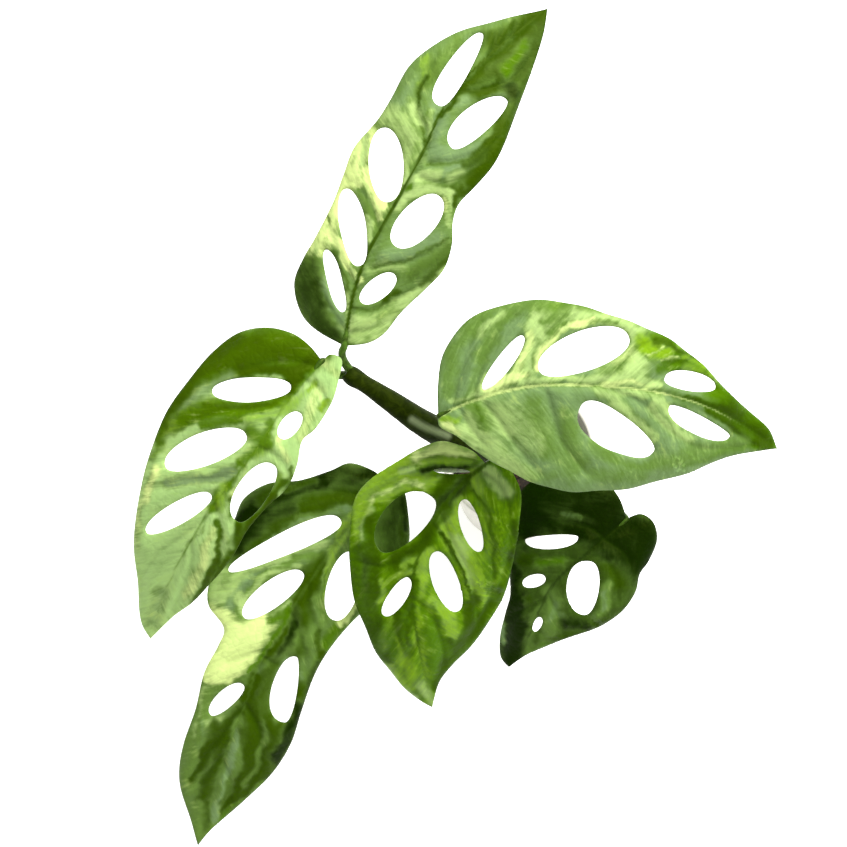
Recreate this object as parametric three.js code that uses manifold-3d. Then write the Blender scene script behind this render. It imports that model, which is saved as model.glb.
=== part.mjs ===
// A young variegated Swiss cheese vine (Monstera adansonii) in a small plain pot.
// A short upright vine stands in the potting mix. Six leaves rise from its nodes, each on its own
// petiole, and their holed blades spread over the pot. Millimetres, +Z up, origin at the middle of
// the pot's flat base.
import * as THREE from "three";
import { mergeVertices } from "three/addons/utils/BufferGeometryUtils.js";
import Module from "manifold-3d";

const wasm = await Module();
wasm.setup();

// Driving dimensions
const clearance = 0.3; // between pieces that touch
const potHeight = 58;
const potRimRadius = 31;
const potFootRadius = 23;
const potWall = 2.6;
const potFloor = 4;
const rimBand = { height: 9, step: 1.6 };
const drain = { count: 3, radius: 2.4, ring: 12 };
const soilLevel = 50;
const soilDome = 2.2;
const bladeThickness = 0.8;
const midribDepth = 1.2; // how far the midrib stands out under the blade

// The leaves are drawn as seen by someone who looks down at the plant. Outlines are read in pixels of
// the photograph, 847 wide and high. Lift is how far a point stands out of the plane of the drawing
// towards the viewer, in millimetres.
const drawing = {
  middle: 423.5,
  pixel: 0.33,
  distance: 520,
  elevation: THREE.MathUtils.degToRad(72),
  centre: new THREE.Vector3(-38, -22, 160),
};
const drawingUp = new THREE.Vector3(0, Math.sin(drawing.elevation), Math.cos(drawing.elevation));
const drawingOut = new THREE.Vector3(0, -Math.cos(drawing.elevation), Math.sin(drawing.elevation));

function fromDrawing(x, y, lift) {
  const scale = (drawing.pixel * (drawing.distance - lift)) / drawing.distance;
  return drawing.centre
    .clone()
    .add(new THREE.Vector3((x - drawing.middle) * scale, 0, 0))
    .addScaledVector(drawingUp, (drawing.middle - y) * scale)
    .addScaledVector(drawingOut, lift);
}

// Each leaf: the midrib and the two margins run from the base to the tip. A hole is
// [end x, end y, other end x, other end y, half width on one side, on the other, skew], and skew moves
// the widest place towards the second end. Lift is given at equal steps along the midrib. Slope is the
// rise of each half of the blade away from the midrib, at the base, middle and tip, and bow is its
// further drop in millimetres 20 mm out. The petiole leaves the vine at a share of the vine's length,
// and its route is [x, y, lift].
const leaves = [
  {
    name: "leaf_top",
    midrib: [
      [344, 346], [352, 300], [364, 262], [380, 230], [402, 192], [424, 150], [440, 114], [462, 82],
      [500, 46], [548, 8],
    ],
    margins: [
      [
        [344, 346], [321, 333], [301, 314], [295, 283], [304, 258], [315, 239], [333, 203], [343, 175],
        [354, 147], [377, 120], [391, 98], [408, 67], [430, 48], [466, 29], [505, 19], [548, 8],
      ],
      [
        [344, 346], [368, 343], [385, 333], [402, 312], [426, 289], [444, 269], [452, 245], [453, 222],
        [459, 204], [475, 187], [493, 166], [505, 143], [519, 105], [532, 69], [543, 35], [548, 8],
      ],
    ],
    holes: [
      [326, 250, 343, 312, 7.5, 8, 0],
      [346, 189, 359, 266, 12.5, 13.5, 0],
      [384, 128, 388, 202, 17, 17.5, 0],
      [482, 33, 438, 105, 14, 9.5, 0.3],
      [506, 100, 451, 147, 18.5, 10.5, 0.1],
      [440, 197, 394, 245, 17, 18, 0],
      [395, 275, 361, 302, 10.5, 10.5, 0],
    ],
    lift: [-1, 5, 6, -5],
    slope: [[-0.3, -0.05, 0], [-0.1, 0.08, -0.1]],
    bow: [-1.5, -1.5],
    petiole: {
      leaves: 0.975,
      route: [[344, 361, -6], [342, 352, -3]],
      radius: [1.5, 1.4, 1.3],
    },
  },
  {
    name: "leaf_left",
    midrib: [
      [322, 361], [303, 382], [287, 402], [268, 432], [247, 462], [217, 500], [190, 542], [166, 590],
      [150, 640],
    ],
    margins: [
      [
        [322, 361], [310, 346], [292, 333], [268, 328], [239, 332], [213, 352], [189, 381], [168, 411],
        [153, 446], [142, 480], [136, 515], [135, 555], [138, 590], [142, 622], [150, 640],
      ],
      [
        [322, 361], [330, 354], [342, 360], [339, 379], [332, 402], [316, 428], [302, 441], [297, 465],
        [287, 488], [266, 508], [247, 530], [232, 557], [210, 583], [192, 602], [173, 617], [150, 640],
      ],
    ],
    holes: [
      [212, 391, 291, 387, 13, 11.5, 0],
      [165, 466, 247, 436, 14, 18.5, 0],
      [147, 532, 212, 495, 10, 12, 0],
      [280, 438, 300, 413, 9, 9.5, 0],
      [236, 521, 274, 465, 12.5, 18.5, 0],
    ],
    lift: [1, 4, -6, -32],
    slope: [[-0.1, -0.2, -0.15], [0.15, -0.3, -0.3]],
    bow: [-2, -1],
    petiole: {
      leaves: 0.99,
      route: [[340, 375, -10.5], [330, 369, -6]],
      radius: [1.5, 1.5, 1.3],
    },
  },
  {
    name: "leaf_low_left",
    midrib: [
      [388, 482], [352, 522], [318, 570], [290, 612], [262, 656], [246, 702], [231, 738], [219, 775],
      [207, 815], [198, 845],
    ],
    margins: [
      [
        [388, 482], [372, 470], [350, 463], [330, 471], [300, 480], [268, 484], [244, 498], [234, 520],
        [221, 552], [210, 582], [209, 606], [224, 628], [219, 645], [205, 672], [196, 708], [183, 745],
        [179, 775], [186, 805], [198, 845],
      ],
      [
        [388, 482], [403, 488], [408, 515], [409, 545], [398, 575], [378, 600], [357, 617], [339, 636],
        [323, 658], [312, 680], [301, 713], [291, 744], [272, 774], [246, 799], [213, 827], [198, 845],
      ],
    ],
    holes: [
      [229, 571, 341, 521, 9.5, 14, 0.3],
      [244, 617, 303, 573, 11.5, 14.5, 0],
      [210, 715, 244, 685, 7, 10.5, 0],
      [334, 620, 352, 552, 16, 16, 0],
      [284, 722, 296, 657, 7, 18.5, -0.2],
    ],
    lift: [-27, -23, -28, -46],
    slope: [[-0.05, -0.1, 0], [-0.2, -0.25, -0.1]],
    bow: [-1.5, -1.5],
    petiole: {
      leaves: 0.33,
      route: [[486, 465, -72], [455, 468, -53], [425, 469, -38], [402, 476, -30]],
      radius: [2.2, 2, 1.8, 1.5, 1.3],
    },
  },
  {
    name: "leaf_centre",
    midrib: [
      [486, 464], [466, 480], [448, 500], [436, 518], [423, 545], [414, 572], [412, 602], [417, 637],
      [424, 671], [432, 707],
    ],
    margins: [
      [
        [486, 464], [474, 452], [459, 445], [441, 441], [420, 448], [398, 461], [371, 479], [356, 497],
        [351, 525], [349, 560], [355, 600], [367, 632], [382, 661], [400, 682], [417, 699], [432, 707],
      ],
      [
        [486, 464], [494, 457], [505, 463], [515, 477], [521, 495], [519, 525], [514, 558], [504, 593],
        [488, 621], [471, 645], [453, 664], [439, 683], [432, 707],
      ],
    ],
    holes: [
      [434, 470, 470, 472, 3.2, 2.6, 0],
      [380, 550, 433, 498, 15.5, 26, 0.05],
      [464, 499, 480, 551, 11.5, 8, 0],
      [383, 615, 409, 578, 10, 7.5, 0],
      [435, 551, 458, 611, 14, 11.5, 0],
    ],
    lift: [1, -4, -13, -34],
    slope: [[0.05, -0.2, -0.2], [0, -0.3, -0.2]],
    bow: [-1.5, -2],
    petiole: {
      leaves: 0.47,
      route: [[514, 462, -42], [512, 459, -22], [497, 461, -6]],
      radius: [2.1, 1.9, 1.6, 1.3],
    },
  },
  {
    name: "leaf_right",
    midrib: [
      [438, 416], [470, 402], [505, 391], [545, 385], [600, 386], [650, 391], [700, 404], [740, 424],
      [778, 449],
    ],
    margins: [
      [
        [438, 416], [438, 385], [444, 352], [467, 321], [500, 306], [535, 300], [573, 304], [620, 318],
        [662, 335], [689, 353], [712, 374], [732, 396], [753, 414], [769, 430], [778, 449],
      ],
      [
        [438, 416], [440, 427], [457, 436], [474, 450], [500, 466], [530, 481], [560, 490], [600, 491],
        [640, 486], [680, 475], [713, 463], [743, 453], [778, 449],
      ],
    ],
    holes: [
      [483, 389, 523, 336, 9, 7, 0],
      [539, 370, 629, 338, 17, 23, 0.05],
      [581, 405, 653, 451, 23.5, 14, -0.2],
      [665, 379, 716, 388, 7.5, 12, -0.1],
      [669, 406, 730, 437, 13.5, 5.5, -0.1],
    ],
    lift: [18, 23, 16, -2],
    slope: [[0.1, 0.12, 0], [-0.1, -0.25, -0.1]],
    bow: [-2, -1.5],
    petiole: {
      leaves: 0.58,
      route: [[500, 440, -24], [492, 427, -3], [466, 419, 11], [450, 417, 15.5]],
      radius: [2, 1.8, 1.6, 1.4, 1.3],
    },
  },
  {
    name: "leaf_low_right",
    midrib: [
      [627, 519], [604, 539], [579, 560], [556, 581], [543, 602], [534, 625], [523, 648], [509, 667],
    ],
    margins: [
      [
        [627, 519], [618, 496], [600, 478], [566, 472], [534, 480], [515, 502], [508, 535], [509, 565],
        [511, 592], [506, 612], [500, 636], [500, 656], [509, 667],
      ],
      [
        [627, 519], [641, 514], [653, 522], [657, 540], [649, 561], [640, 574], [636, 592], [623, 611],
        [604, 624], [578, 634], [551, 645], [527, 654], [509, 667],
      ],
    ],
    holes: [
      [525, 540, 578, 537, 10.5, 3.5, 0],
      [523, 584, 545, 578, 6.5, 6.5, 0],
      [589, 561, 583, 615, 19.5, 13, -0.1],
      [534, 631, 541, 617, 4, 4, 0],
    ],
    lift: [-28, -26, -34, -48],
    slope: [[0, -0.3, -0.4], [-0.1, -0.15, 0]],
    bow: [-1, -1.5],
    petiole: {
      leaves: 0.24,
      route: [[550, 463, -88], [586, 482, -66], [612, 501, -45], [623, 514, -32]],
      radius: [2.1, 1.9, 1.7, 1.5, 1.3],
    },
  },
];

// The vine: it rises from the mix and leans over, and its radius is given at equal steps of its length
const vineFoot = [[0, 0, 26], [0, 0, 44], [0, -1, 60]].map((p) => new THREE.Vector3(...p));
const vineTop = [
  [508, 462, -76], [490, 461, -54], [466, 449, -34], [441, 433, -23], [421, 422, -17], [386, 398, -11],
  [346, 372, -8],
];
const vineRadii = [4, 4, 4.1, 4.3, 4.6, 5, 4.1, 2.4];
const nodeSwelling = { rise: 0.5, spread: 2.5 };
const aerialRoots = [
  { share: 0.27, turn: 150, length: 11, drop: 6 },
  { share: 0.36, turn: 250, length: 10, drop: 5 },
  { share: 0.52, turn: 75, length: 9, drop: 4 },
];

// A value given at equal steps, read anywhere from 0 to 1 by a smooth curve
function along(values, share) {
  const place = THREE.MathUtils.clamp(share, 0, 1) * (values.length - 1);
  const i = Math.min(Math.floor(place), values.length - 2);
  const at = (k) => values[THREE.MathUtils.clamp(k, 0, values.length - 1)];
  const [a, b, c, d] = [i - 1, i, i + 1, i + 2].map(at);
  const f = place - i;
  return b + 0.5 * f * (c - a + f * (2 * a - 5 * b + 4 * c - d + f * (3 * (b - c) + d - a)));
}

const point2 = ([x, y]) => new THREE.Vector2(x, y);

function spacedPoints(points, spacing) {
  const curve = new THREE.SplineCurve(points.map(point2));
  return curve.getSpacedPoints(Math.max(2, Math.round(curve.getLength() / spacing)));
}

// Where a point of the drawing lies on a leaf: its share of the way along the midrib, which is below
// zero in the lobes behind the base, and its distance from the midrib, in millimetres
function midribFinder(leaf) {
  const line = spacedPoints(leaf.midrib, 5);
  const steps = line.length - 1;
  const back = line[0].clone().sub(line[2]).divideScalar(2);
  const ahead = line[steps].clone().sub(line[steps - 2]).divideScalar(2);
  const extra = 12;
  const all = [];
  for (let i = extra; i > 0; i--) all.push(line[0].clone().addScaledVector(back, i));
  all.push(...line);
  for (let i = 1; i <= extra; i++) all.push(line[steps].clone().addScaledVector(ahead, i));
  return (x, y) => {
    const p = new THREE.Vector2(x, y);
    let best = { gap: Infinity };
    for (let i = 0; i + 1 < all.length; i++) {
      const span = all[i + 1].clone().sub(all[i]);
      const from = p.clone().sub(all[i]);
      const share = THREE.MathUtils.clamp(from.dot(span) / span.lengthSq(), 0, 1);
      const gap = from.clone().addScaledVector(span, -share).length();
      if (gap > best.gap) continue;
      best = { gap, s: (i + share - extra) / steps, side: Math.sign(span.cross(from)) };
    }
    return { s: best.s, t: best.gap * best.side * drawing.pixel };
  };
}

// The side of the midrib that margin 0 lies on, so that slopes go to the right half
function firstSide(leaf, find) {
  const [x, y] = leaf.margins[0][Math.floor(leaf.margins[0].length / 2)];
  return Math.sign(find(x, y).t);
}

function bladeSurface(leaf) {
  const find = midribFinder(leaf);
  const side = firstSide(leaf, find);
  return (x, y) => {
    const { s, t } = find(x, y);
    const half = t * side >= 0 ? 0 : 1;
    const out = Math.abs(t);
    const lift = along(leaf.lift, s) + along(leaf.slope[half], s) * out + leaf.bow[half] * (out / 20) ** 2;
    return { at: fromDrawing(x, y, lift), s, out };
  };
}

// A hole's edge: an oval between its two ends, with its own half width on each side
function holeEdge([x1, y1, x2, y2, oneSide, otherSide, skew], spacing) {
  const middle = new THREE.Vector2((x1 + x2) / 2, (y1 + y2) / 2);
  const axis = new THREE.Vector2((x2 - x1) / 2, (y2 - y1) / 2);
  const across = new THREE.Vector2(-axis.y, axis.x).normalize();
  const count = Math.max(8, Math.round((Math.PI * (axis.length() + (oneSide + otherSide) / 2)) / spacing));
  return Array.from({ length: count }, (_, i) => {
    const turn = (i / count) * 2 * Math.PI;
    const sine = Math.sin(turn);
    const width = (sine > 0 ? oneSide : otherSide) * Math.sign(sine) * Math.abs(sine) ** 0.9;
    const length = Math.cos(turn) + skew * sine * sine;
    return middle.clone().addScaledVector(axis, length).addScaledVector(across, width);
  });
}

function inside(loop, x, y) {
  let odd = false;
  for (let i = 0, j = loop.length - 1; i < loop.length; j = i++) {
    const [a, b] = [loop[i], loop[j]];
    if (a.y > y !== b.y > y && x < ((b.x - a.x) * (y - a.y)) / (b.y - a.y) + a.x) odd = !odd;
  }
  return odd;
}

// Delaunay triangles of a set of points, by adding one point at a time
function triangulate(points) {
  const far = 1e5;
  const frame = [[-far, -far], [far, -far], [0, far]].map(point2);
  const all = [...points, ...frame];
  const circle = (a, b, c) => {
    const [p, q, r] = [all[a], all[b], all[c]];
    const d = 2 * (p.x * (q.y - r.y) + q.x * (r.y - p.y) + r.x * (p.y - q.y));
    const x = (p.lengthSq() * (q.y - r.y) + q.lengthSq() * (r.y - p.y) + r.lengthSq() * (p.y - q.y)) / d;
    const y = (p.lengthSq() * (r.x - q.x) + q.lengthSq() * (p.x - r.x) + r.lengthSq() * (q.x - p.x)) / d;
    return { corners: [a, b, c], x, y, reach: (p.x - x) ** 2 + (p.y - y) ** 2 };
  };
  const n = points.length;
  let triangles = [circle(n, n + 1, n + 2)];
  points.forEach((p, index) => {
    const edges = new Map();
    triangles = triangles.filter((t) => {
      if ((p.x - t.x) ** 2 + (p.y - t.y) ** 2 > t.reach) return true;
      const [a, b, c] = t.corners;
      for (const [u, v] of [[a, b], [b, c], [c, a]]) {
        const twin = v + "," + u;
        if (edges.has(twin)) edges.delete(twin);
        else edges.set(u + "," + v, [u, v]);
      }
      return false;
    });
    for (const [u, v] of edges.values()) triangles.push(circle(u, v, index));
  });
  return triangles.map((t) => t.corners).filter((corners) => corners.every((c) => c < n));
}

// The blade as a plate of even thickness, with the same triangles on both faces
function blade(leaf) {
  const marginStep = 11;
  const holeStep = 10;
  const innerStep = 24;
  const clearOfEdge = 9;
  const [there, back] = leaf.margins.map((margin) => spacedPoints(margin, marginStep));
  const outer = [...there, ...back.slice(1, -1).reverse()];
  const holes = leaf.holes.map((hole) => holeEdge(hole, holeStep));
  const isBlade = (x, y) => inside(outer, x, y) && !holes.some((hole) => inside(hole, x, y));
  const points = [...outer, ...holes.flat()];
  const addInner = (p, room) => {
    if (isBlade(p.x, p.y) && points.every((q) => q.distanceTo(p) > room)) points.push(p);
  };
  spacedPoints(leaf.midrib, marginStep).forEach((p) => addInner(p, 4));
  const box = new THREE.Box2().setFromPoints(outer);
  for (let row = 0, y = box.min.y; y < box.max.y; y += innerStep * 0.87, row++)
    for (let x = box.min.x + (row % 2) * 0.5 * innerStep; x < box.max.x; x += innerStep)
      addInner(new THREE.Vector2(x, y), clearOfEdge);

  const surface = bladeSurface(leaf);
  const top = [];
  const bottom = [];
  for (const p of points) {
    const { at, s, out } = surface(p.x, p.y);
    const right = surface(p.x + 1, p.y).at.sub(at);
    const up = surface(p.x, p.y - 1).at.sub(at);
    const normal = right.cross(up).normalize();
    const ridge = midribDepth * Math.exp(-((out / 1.2) ** 2)) * THREE.MathUtils.clamp(1 - s, 0, 1);
    top.push(at.clone().addScaledVector(normal, bladeThickness / 2));
    bottom.push(at.clone().addScaledVector(normal, -bladeThickness / 2 - ridge));
  }
  const n = points.length;
  const faces = [];
  const open = new Map();
  for (let [a, b, c] of triangulate(points)) {
    const middle = points[a].clone().add(points[b]).add(points[c]).divideScalar(3);
    if (!isBlade(middle.x, middle.y)) continue;
    if (points[b].clone().sub(points[a]).cross(points[c].clone().sub(points[a])) > 0) [b, c] = [c, b];
    faces.push([a, b, c], [a + n, c + n, b + n]);
    for (const [u, v] of [[a, b], [b, c], [c, a]])
      if (!open.delete(v + "," + u)) open.set(u + "," + v, [u, v]);
  }
  for (const [u, v] of open.values()) faces.push([v, u, u + n], [v, u + n, v + n]);
  return solid([...top, ...bottom], faces);
}

function solid(points, faces) {
  const used = [...new Set(faces.flat())];
  const index = new Map(used.map((v, i) => [v, i]));
  const vertProperties = new Float32Array(used.flatMap((v) => points[v].toArray()));
  const triVerts = new Uint32Array(faces.flat().map((v) => index.get(v)));
  return new wasm.Manifold(new wasm.Mesh({ numProp: 3, vertProperties, triVerts }));
}

// A closed round bar along a smooth route, with its radii given at equal steps of its length. Grow
// makes it larger all round, ends included.
function bar(route, radiusAt, sides, steps, grow = 0) {
  const curve = new THREE.CatmullRomCurve3(route, false, "centripetal");
  const frames = curve.computeFrenetFrames(steps);
  const points = [];
  const faces = [];
  for (let i = 0; i <= steps; i++) {
    const past = i === 0 ? -grow : i === steps ? grow : 0;
    const middle = curve.getPointAt(i / steps).addScaledVector(frames.tangents[i], past);
    const radius = radiusAt(i / steps) + grow;
    for (let k = 0; k < sides; k++) {
      const turn = (k / sides) * 2 * Math.PI;
      const out = frames.normals[i].clone().multiplyScalar(Math.cos(turn));
      out.addScaledVector(frames.binormals[i], Math.sin(turn));
      points.push(middle.clone().addScaledVector(out, radius));
    }
  }
  for (let i = 0; i < steps; i++)
    for (let k = 0; k < sides; k++) {
      const [a, b] = [i * sides + k, i * sides + ((k + 1) % sides)];
      faces.push([a, b, b + sides], [a, b + sides, a + sides]);
    }
  const last = steps * sides;
  for (let k = 1; k + 1 < sides; k++) faces.push([0, k + 1, k], [last, last + k, last + k + 1]);
  return solid(points, faces);
}

function fromGeometry(geometry) {
  const bare = geometry.index ? geometry.toNonIndexed() : geometry.clone();
  bare.deleteAttribute("normal");
  bare.deleteAttribute("uv");
  const merged = mergeVertices(bare, 1e-4);
  const vertProperties = merged.attributes.position.array;
  const triVerts = new Uint32Array(merged.index.array);
  return new wasm.Manifold(new wasm.Mesh({ numProp: 3, vertProperties, triVerts }));
}

function toMesh(name, made, look) {
  const { vertProperties, triVerts, numProp } = made.getMesh();
  const geometry = new THREE.BufferGeometry();
  const position = new THREE.InterleavedBuffer(vertProperties, numProp);
  geometry.setAttribute("position", new THREE.InterleavedBufferAttribute(position, 3, 0));
  geometry.setIndex(new THREE.BufferAttribute(triVerts, 1));
  const mesh = new THREE.Mesh(geometry.toNonIndexed(), look);
  mesh.geometry.computeVertexNormals();
  mesh.name = name;
  return mesh;
}

// The vine: swollen at each node, with a few stub roots
const vineRoute = [...vineFoot, ...vineTop.map((p) => fromDrawing(...p))];
const vineLine = new THREE.CatmullRomCurve3(vineRoute, false, "centripetal");

function vineRadius(share) {
  const { rise, spread } = nodeSwelling;
  const length = vineLine.getLength();
  const bump = (from) => rise * Math.exp(-((((share - from) * length) / spread) ** 2));
  return along(vineRadii, share) + leaves.reduce((sum, { petiole }) => sum + bump(petiole.leaves), 0);
}

function aerialRoot({ share, turn, length, drop }) {
  const from = vineLine.getPointAt(share);
  const angle = THREE.MathUtils.degToRad(turn);
  const out = new THREE.Vector3(Math.cos(angle), Math.sin(angle), 0);
  const bend = from.clone().addScaledVector(out, length * 0.7);
  const end = from.clone().addScaledVector(out, length).add(new THREE.Vector3(0, 0, -drop));
  return bar([from, bend, end], (s) => along([1.3, 1.1, 0.5], s), 6, 5);
}

const vineSides = 11;
const vineSteps = 34;
const roots = aerialRoots.map(aerialRoot);
const grownVine = bar(vineRoute, vineRadius, vineSides, vineSteps, clearance);
const vine = roots.reduce((sum, root) => sum.add(root), bar(vineRoute, vineRadius, vineSides, vineSteps));

// A leaf: the blade, and the petiole that runs from the vine into the blade's base
function leafSolid(leaf) {
  const surface = bladeSurface(leaf);
  const { petiole } = leaf;
  const sunk = [0, 0.4].map((share) => {
    const [x, y] = leaf.midrib[0].map((v, i) => v + (leaf.midrib[1][i] - v) * share);
    return surface(x, y).at.addScaledVector(drawingOut, -0.9);
  });
  const start = vineLine.getPointAt(petiole.leaves);
  const route = [start, ...petiole.route.map((p) => fromDrawing(...p)), ...sunk];
  const radii = [petiole.radius[0], ...petiole.radius, 1.1, 0.6];
  const stalk = bar(route, (s) => along(radii, s), 8, 5 * (route.length - 2)).subtract(grownVine);
  const whole = blade(leaf).add(stalk);
  return whole.decompose().sort((a, b) => b.volume() - a.volume())[0];
}

// The pot: a tapered wall under a thicker rim band, a flat base and drain holes round its middle
function potSolid() {
  const bandFoot = potHeight - rimBand.height;
  const wallAt = (z) => potFootRadius + ((potRimRadius - rimBand.step - potFootRadius) * z) / bandFoot;
  const profile = [
    [0, 0],
    [potFootRadius - 1, 0],
    [potFootRadius, 1],
    [wallAt(bandFoot), bandFoot],
    [potRimRadius, bandFoot + 1.2],
    [potRimRadius, potHeight - 1.2],
    [potRimRadius - 1.2, potHeight],
    [potRimRadius - potWall, potHeight],
    [potRimRadius - potWall - 0.6, potHeight - 0.8],
    [wallAt(bandFoot) - potWall, bandFoot - 1],
    [wallAt(potFloor) - potWall, potFloor],
    [0, potFloor],
  ];
  let body = fromGeometry(new THREE.LatheGeometry(profile.map(point2), 44).rotateX(Math.PI / 2));
  for (let i = 0; i < drain.count; i++) {
    const turn = (i / drain.count) * 2 * Math.PI + 0.4;
    const hole = new THREE.CylinderGeometry(drain.radius, drain.radius, 3 * potFloor, 12);
    hole.rotateX(Math.PI / 2).translate(drain.ring * Math.cos(turn), drain.ring * Math.sin(turn), 0);
    body = body.subtract(fromGeometry(hole));
  }
  return { body, innerRadius: (z) => wallAt(z) - potWall };
}

// The potting mix fills the pot to just under the rim, with a plain hole for the stem
function soilSolid(innerRadius) {
  const bottom = potFloor + clearance;
  const edge = (z) => innerRadius(z) - clearance - 0.15;
  const shoulder = soilLevel - soilDome;
  const profile = [
    [0, bottom],
    [edge(bottom), bottom],
    [edge(shoulder - 1.5), shoulder - 1.5],
    [edge(shoulder) - 1.2, shoulder],
    [edge(shoulder) * 0.7, soilLevel - 0.7],
    [edge(shoulder) * 0.35, soilLevel],
    [0, soilLevel],
  ];
  const body = fromGeometry(new THREE.LatheGeometry(profile.map(point2), 34).rotateX(Math.PI / 2));
  return body.subtract(grownVine);
}

const looks = {
  pot: new THREE.MeshStandardMaterial({ color: 0xe6e2da, roughness: 0.6, metalness: 0 }),
  soil: new THREE.MeshStandardMaterial({ color: 0x3a2a1e, roughness: 0.95, metalness: 0 }),
  stem: new THREE.MeshStandardMaterial({ color: 0x34470f, roughness: 0.4, metalness: 0 }),
  leaf: new THREE.MeshStandardMaterial({ color: 0x6f9a45, roughness: 0.45, metalness: 0 }),
};

const plant = new THREE.Group();
const { body: potBody, innerRadius } = potSolid();
plant.add(toMesh("pot", potBody, looks.pot));
plant.add(toMesh("soil", soilSolid(innerRadius), looks.soil));
plant.add(toMesh("stem", vine, looks.stem));
for (const leaf of leaves) {
  const made = roots.reduce((left, root) => left.subtract(root), leafSolid(leaf));
  plant.add(toMesh(leaf.name, made, looks.leaf));
}

export default plant;
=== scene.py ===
# A young variegated Swiss cheese vine in a small plain pot, seen from above: six holed leaves with
# quilting between their veins, a leaning vine, loose potting mix and a satin glazed pot.
# Sizes are in millimetres until a mesh is made.
import math

import bpy
import numpy as np
from mathutils import Matrix, Vector
from mathutils.geometry import delaunay_2d_cdt


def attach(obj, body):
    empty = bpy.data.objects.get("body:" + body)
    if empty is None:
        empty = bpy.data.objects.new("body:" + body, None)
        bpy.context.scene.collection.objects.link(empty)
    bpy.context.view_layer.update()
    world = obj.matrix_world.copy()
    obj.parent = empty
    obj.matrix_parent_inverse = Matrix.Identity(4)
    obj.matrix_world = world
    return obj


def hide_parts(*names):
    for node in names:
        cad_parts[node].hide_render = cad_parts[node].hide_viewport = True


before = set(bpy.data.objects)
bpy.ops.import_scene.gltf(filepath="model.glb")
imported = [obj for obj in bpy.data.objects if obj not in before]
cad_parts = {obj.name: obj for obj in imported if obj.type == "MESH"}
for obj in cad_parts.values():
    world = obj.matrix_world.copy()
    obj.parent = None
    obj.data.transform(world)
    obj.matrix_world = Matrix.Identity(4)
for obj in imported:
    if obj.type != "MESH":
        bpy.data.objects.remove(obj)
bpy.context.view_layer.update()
metre = 0.001  # one millimetre, in metres
print("frame loaded")

# The plant is drawn as the camera sees it. Places are read in pixels of the photograph, and lift is
# how far a point stands out of the plane of the drawing towards the camera, in millimetres.
drawing = {
    "middle": 423.5,
    "pixel": 0.33,
    "distance": 520,
    "elevation": math.radians(72),
    "centre": np.array([-38, -22, 160]),
}
drawingRight = np.array([1, 0, 0])
drawingUp = np.array([0, math.sin(drawing["elevation"]), math.cos(drawing["elevation"])])
drawingOut = np.array([0, -math.cos(drawing["elevation"]), math.sin(drawing["elevation"])])


def fromDrawing(points, lift):
    points = np.asarray(points, float)
    lift = np.asarray(lift, float)[..., None]
    scale = drawing["pixel"] * (drawing["distance"] - lift) / drawing["distance"]
    right = (points[..., :1] - drawing["middle"]) * scale * drawingRight
    up = (drawing["middle"] - points[..., 1:2]) * scale * drawingUp
    return drawing["centre"] + right + up + lift * drawingOut


def along(values, share):
    # values given at equal steps, read anywhere from 0 to 1 by a smooth curve
    values = np.asarray(values, float)
    last = len(values) - 1
    place = np.clip(share, 0, 1) * last
    i = np.minimum(np.floor(place).astype(int), last - 1)
    f = place - i
    if values.ndim > 1:
        f = f[..., None]
    a, b = values[np.maximum(i - 1, 0)], values[i]
    c, d = values[i + 1], values[np.minimum(i + 2, last)]
    return b + 0.5 * f * (c - a + f * (2 * a - 5 * b + 4 * c - d + f * (3 * (b - c) + d - a)))


def evenly(dense, count):
    # a line of many points, redrawn as count points at even distances
    length = np.concatenate([[0], np.cumsum(np.linalg.norm(np.diff(dense, axis=0), axis=1))])
    marks = np.linspace(0, length[-1], count)
    return np.stack([np.interp(marks, length, dense[:, k]) for k in range(dense.shape[1])], 1)


def spacedPoints(points, spacing):
    dense = along(points, np.linspace(0, 1, 40 * len(points)))
    length = np.linalg.norm(np.diff(dense, axis=0), axis=1).sum()
    return evenly(dense, max(2, round(length / spacing)) + 1)


def smoothRoute(points, count):
    # a centripetal curve through the points
    p = np.asarray(points, float)
    p = np.vstack([2 * p[0] - p[1], p, 2 * p[-1] - p[-2]])
    share = np.linspace(0, 1, 60, endpoint=False)[:, None]
    dense = []
    for a, b, c, d in zip(p, p[1:], p[2:], p[3:]):
        ab, bc, cd = (math.sqrt(np.linalg.norm(v)) for v in (b - a, c - b, d - c))
        leave = ((b - a) / ab - (c - a) / (ab + bc) + (c - b) / bc) * bc
        arrive = ((c - b) / bc - (d - b) / (bc + cd) + (d - c) / cd) * bc
        square = 3 * (c - b) - 2 * leave - arrive
        cube = 2 * (b - c) + leave + arrive
        dense.append(b + share * (leave + share * (square + share * cube)))
    return evenly(np.vstack([*dense, p[-2:-1]]), count)


def fade(value, low, high):
    # 0 below low, 1 above high and smooth between
    x = np.clip((value - low) / (high - low), 0, 1)
    return x * x * (3 - 2 * x)


def linear(hexColour):
    # an sRGB hex colour as linear RGBA
    parts = [int(hexColour[i : i + 2], 16) / 255 for i in (1, 3, 5)]
    return (*(c / 12.92 if c <= 0.04045 else ((c + 0.055) / 1.055) ** 2.4 for c in parts), 1)


def addNode(tree, kind, links=None, **settings):
    # a node with its settings, and its inputs set to values or linked to other nodes' sockets
    made = tree.nodes.new(kind)
    for name, value in settings.items():
        setattr(made, name, value)
    for name, value in (links or {}).items():
        if isinstance(value, bpy.types.NodeSocket):
            tree.links.new(value, made.inputs[name])
        else:
            made.inputs[name].default_value = value
    return made


def newMaterial(name):
    material = bpy.data.materials.new(name)
    material.use_nodes = True
    material.node_tree.nodes.clear()
    return material, material.node_tree


def finishMaterial(tree, shader):
    addNode(tree, "ShaderNodeOutputMaterial", {"Surface": shader.outputs[0]})


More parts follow.
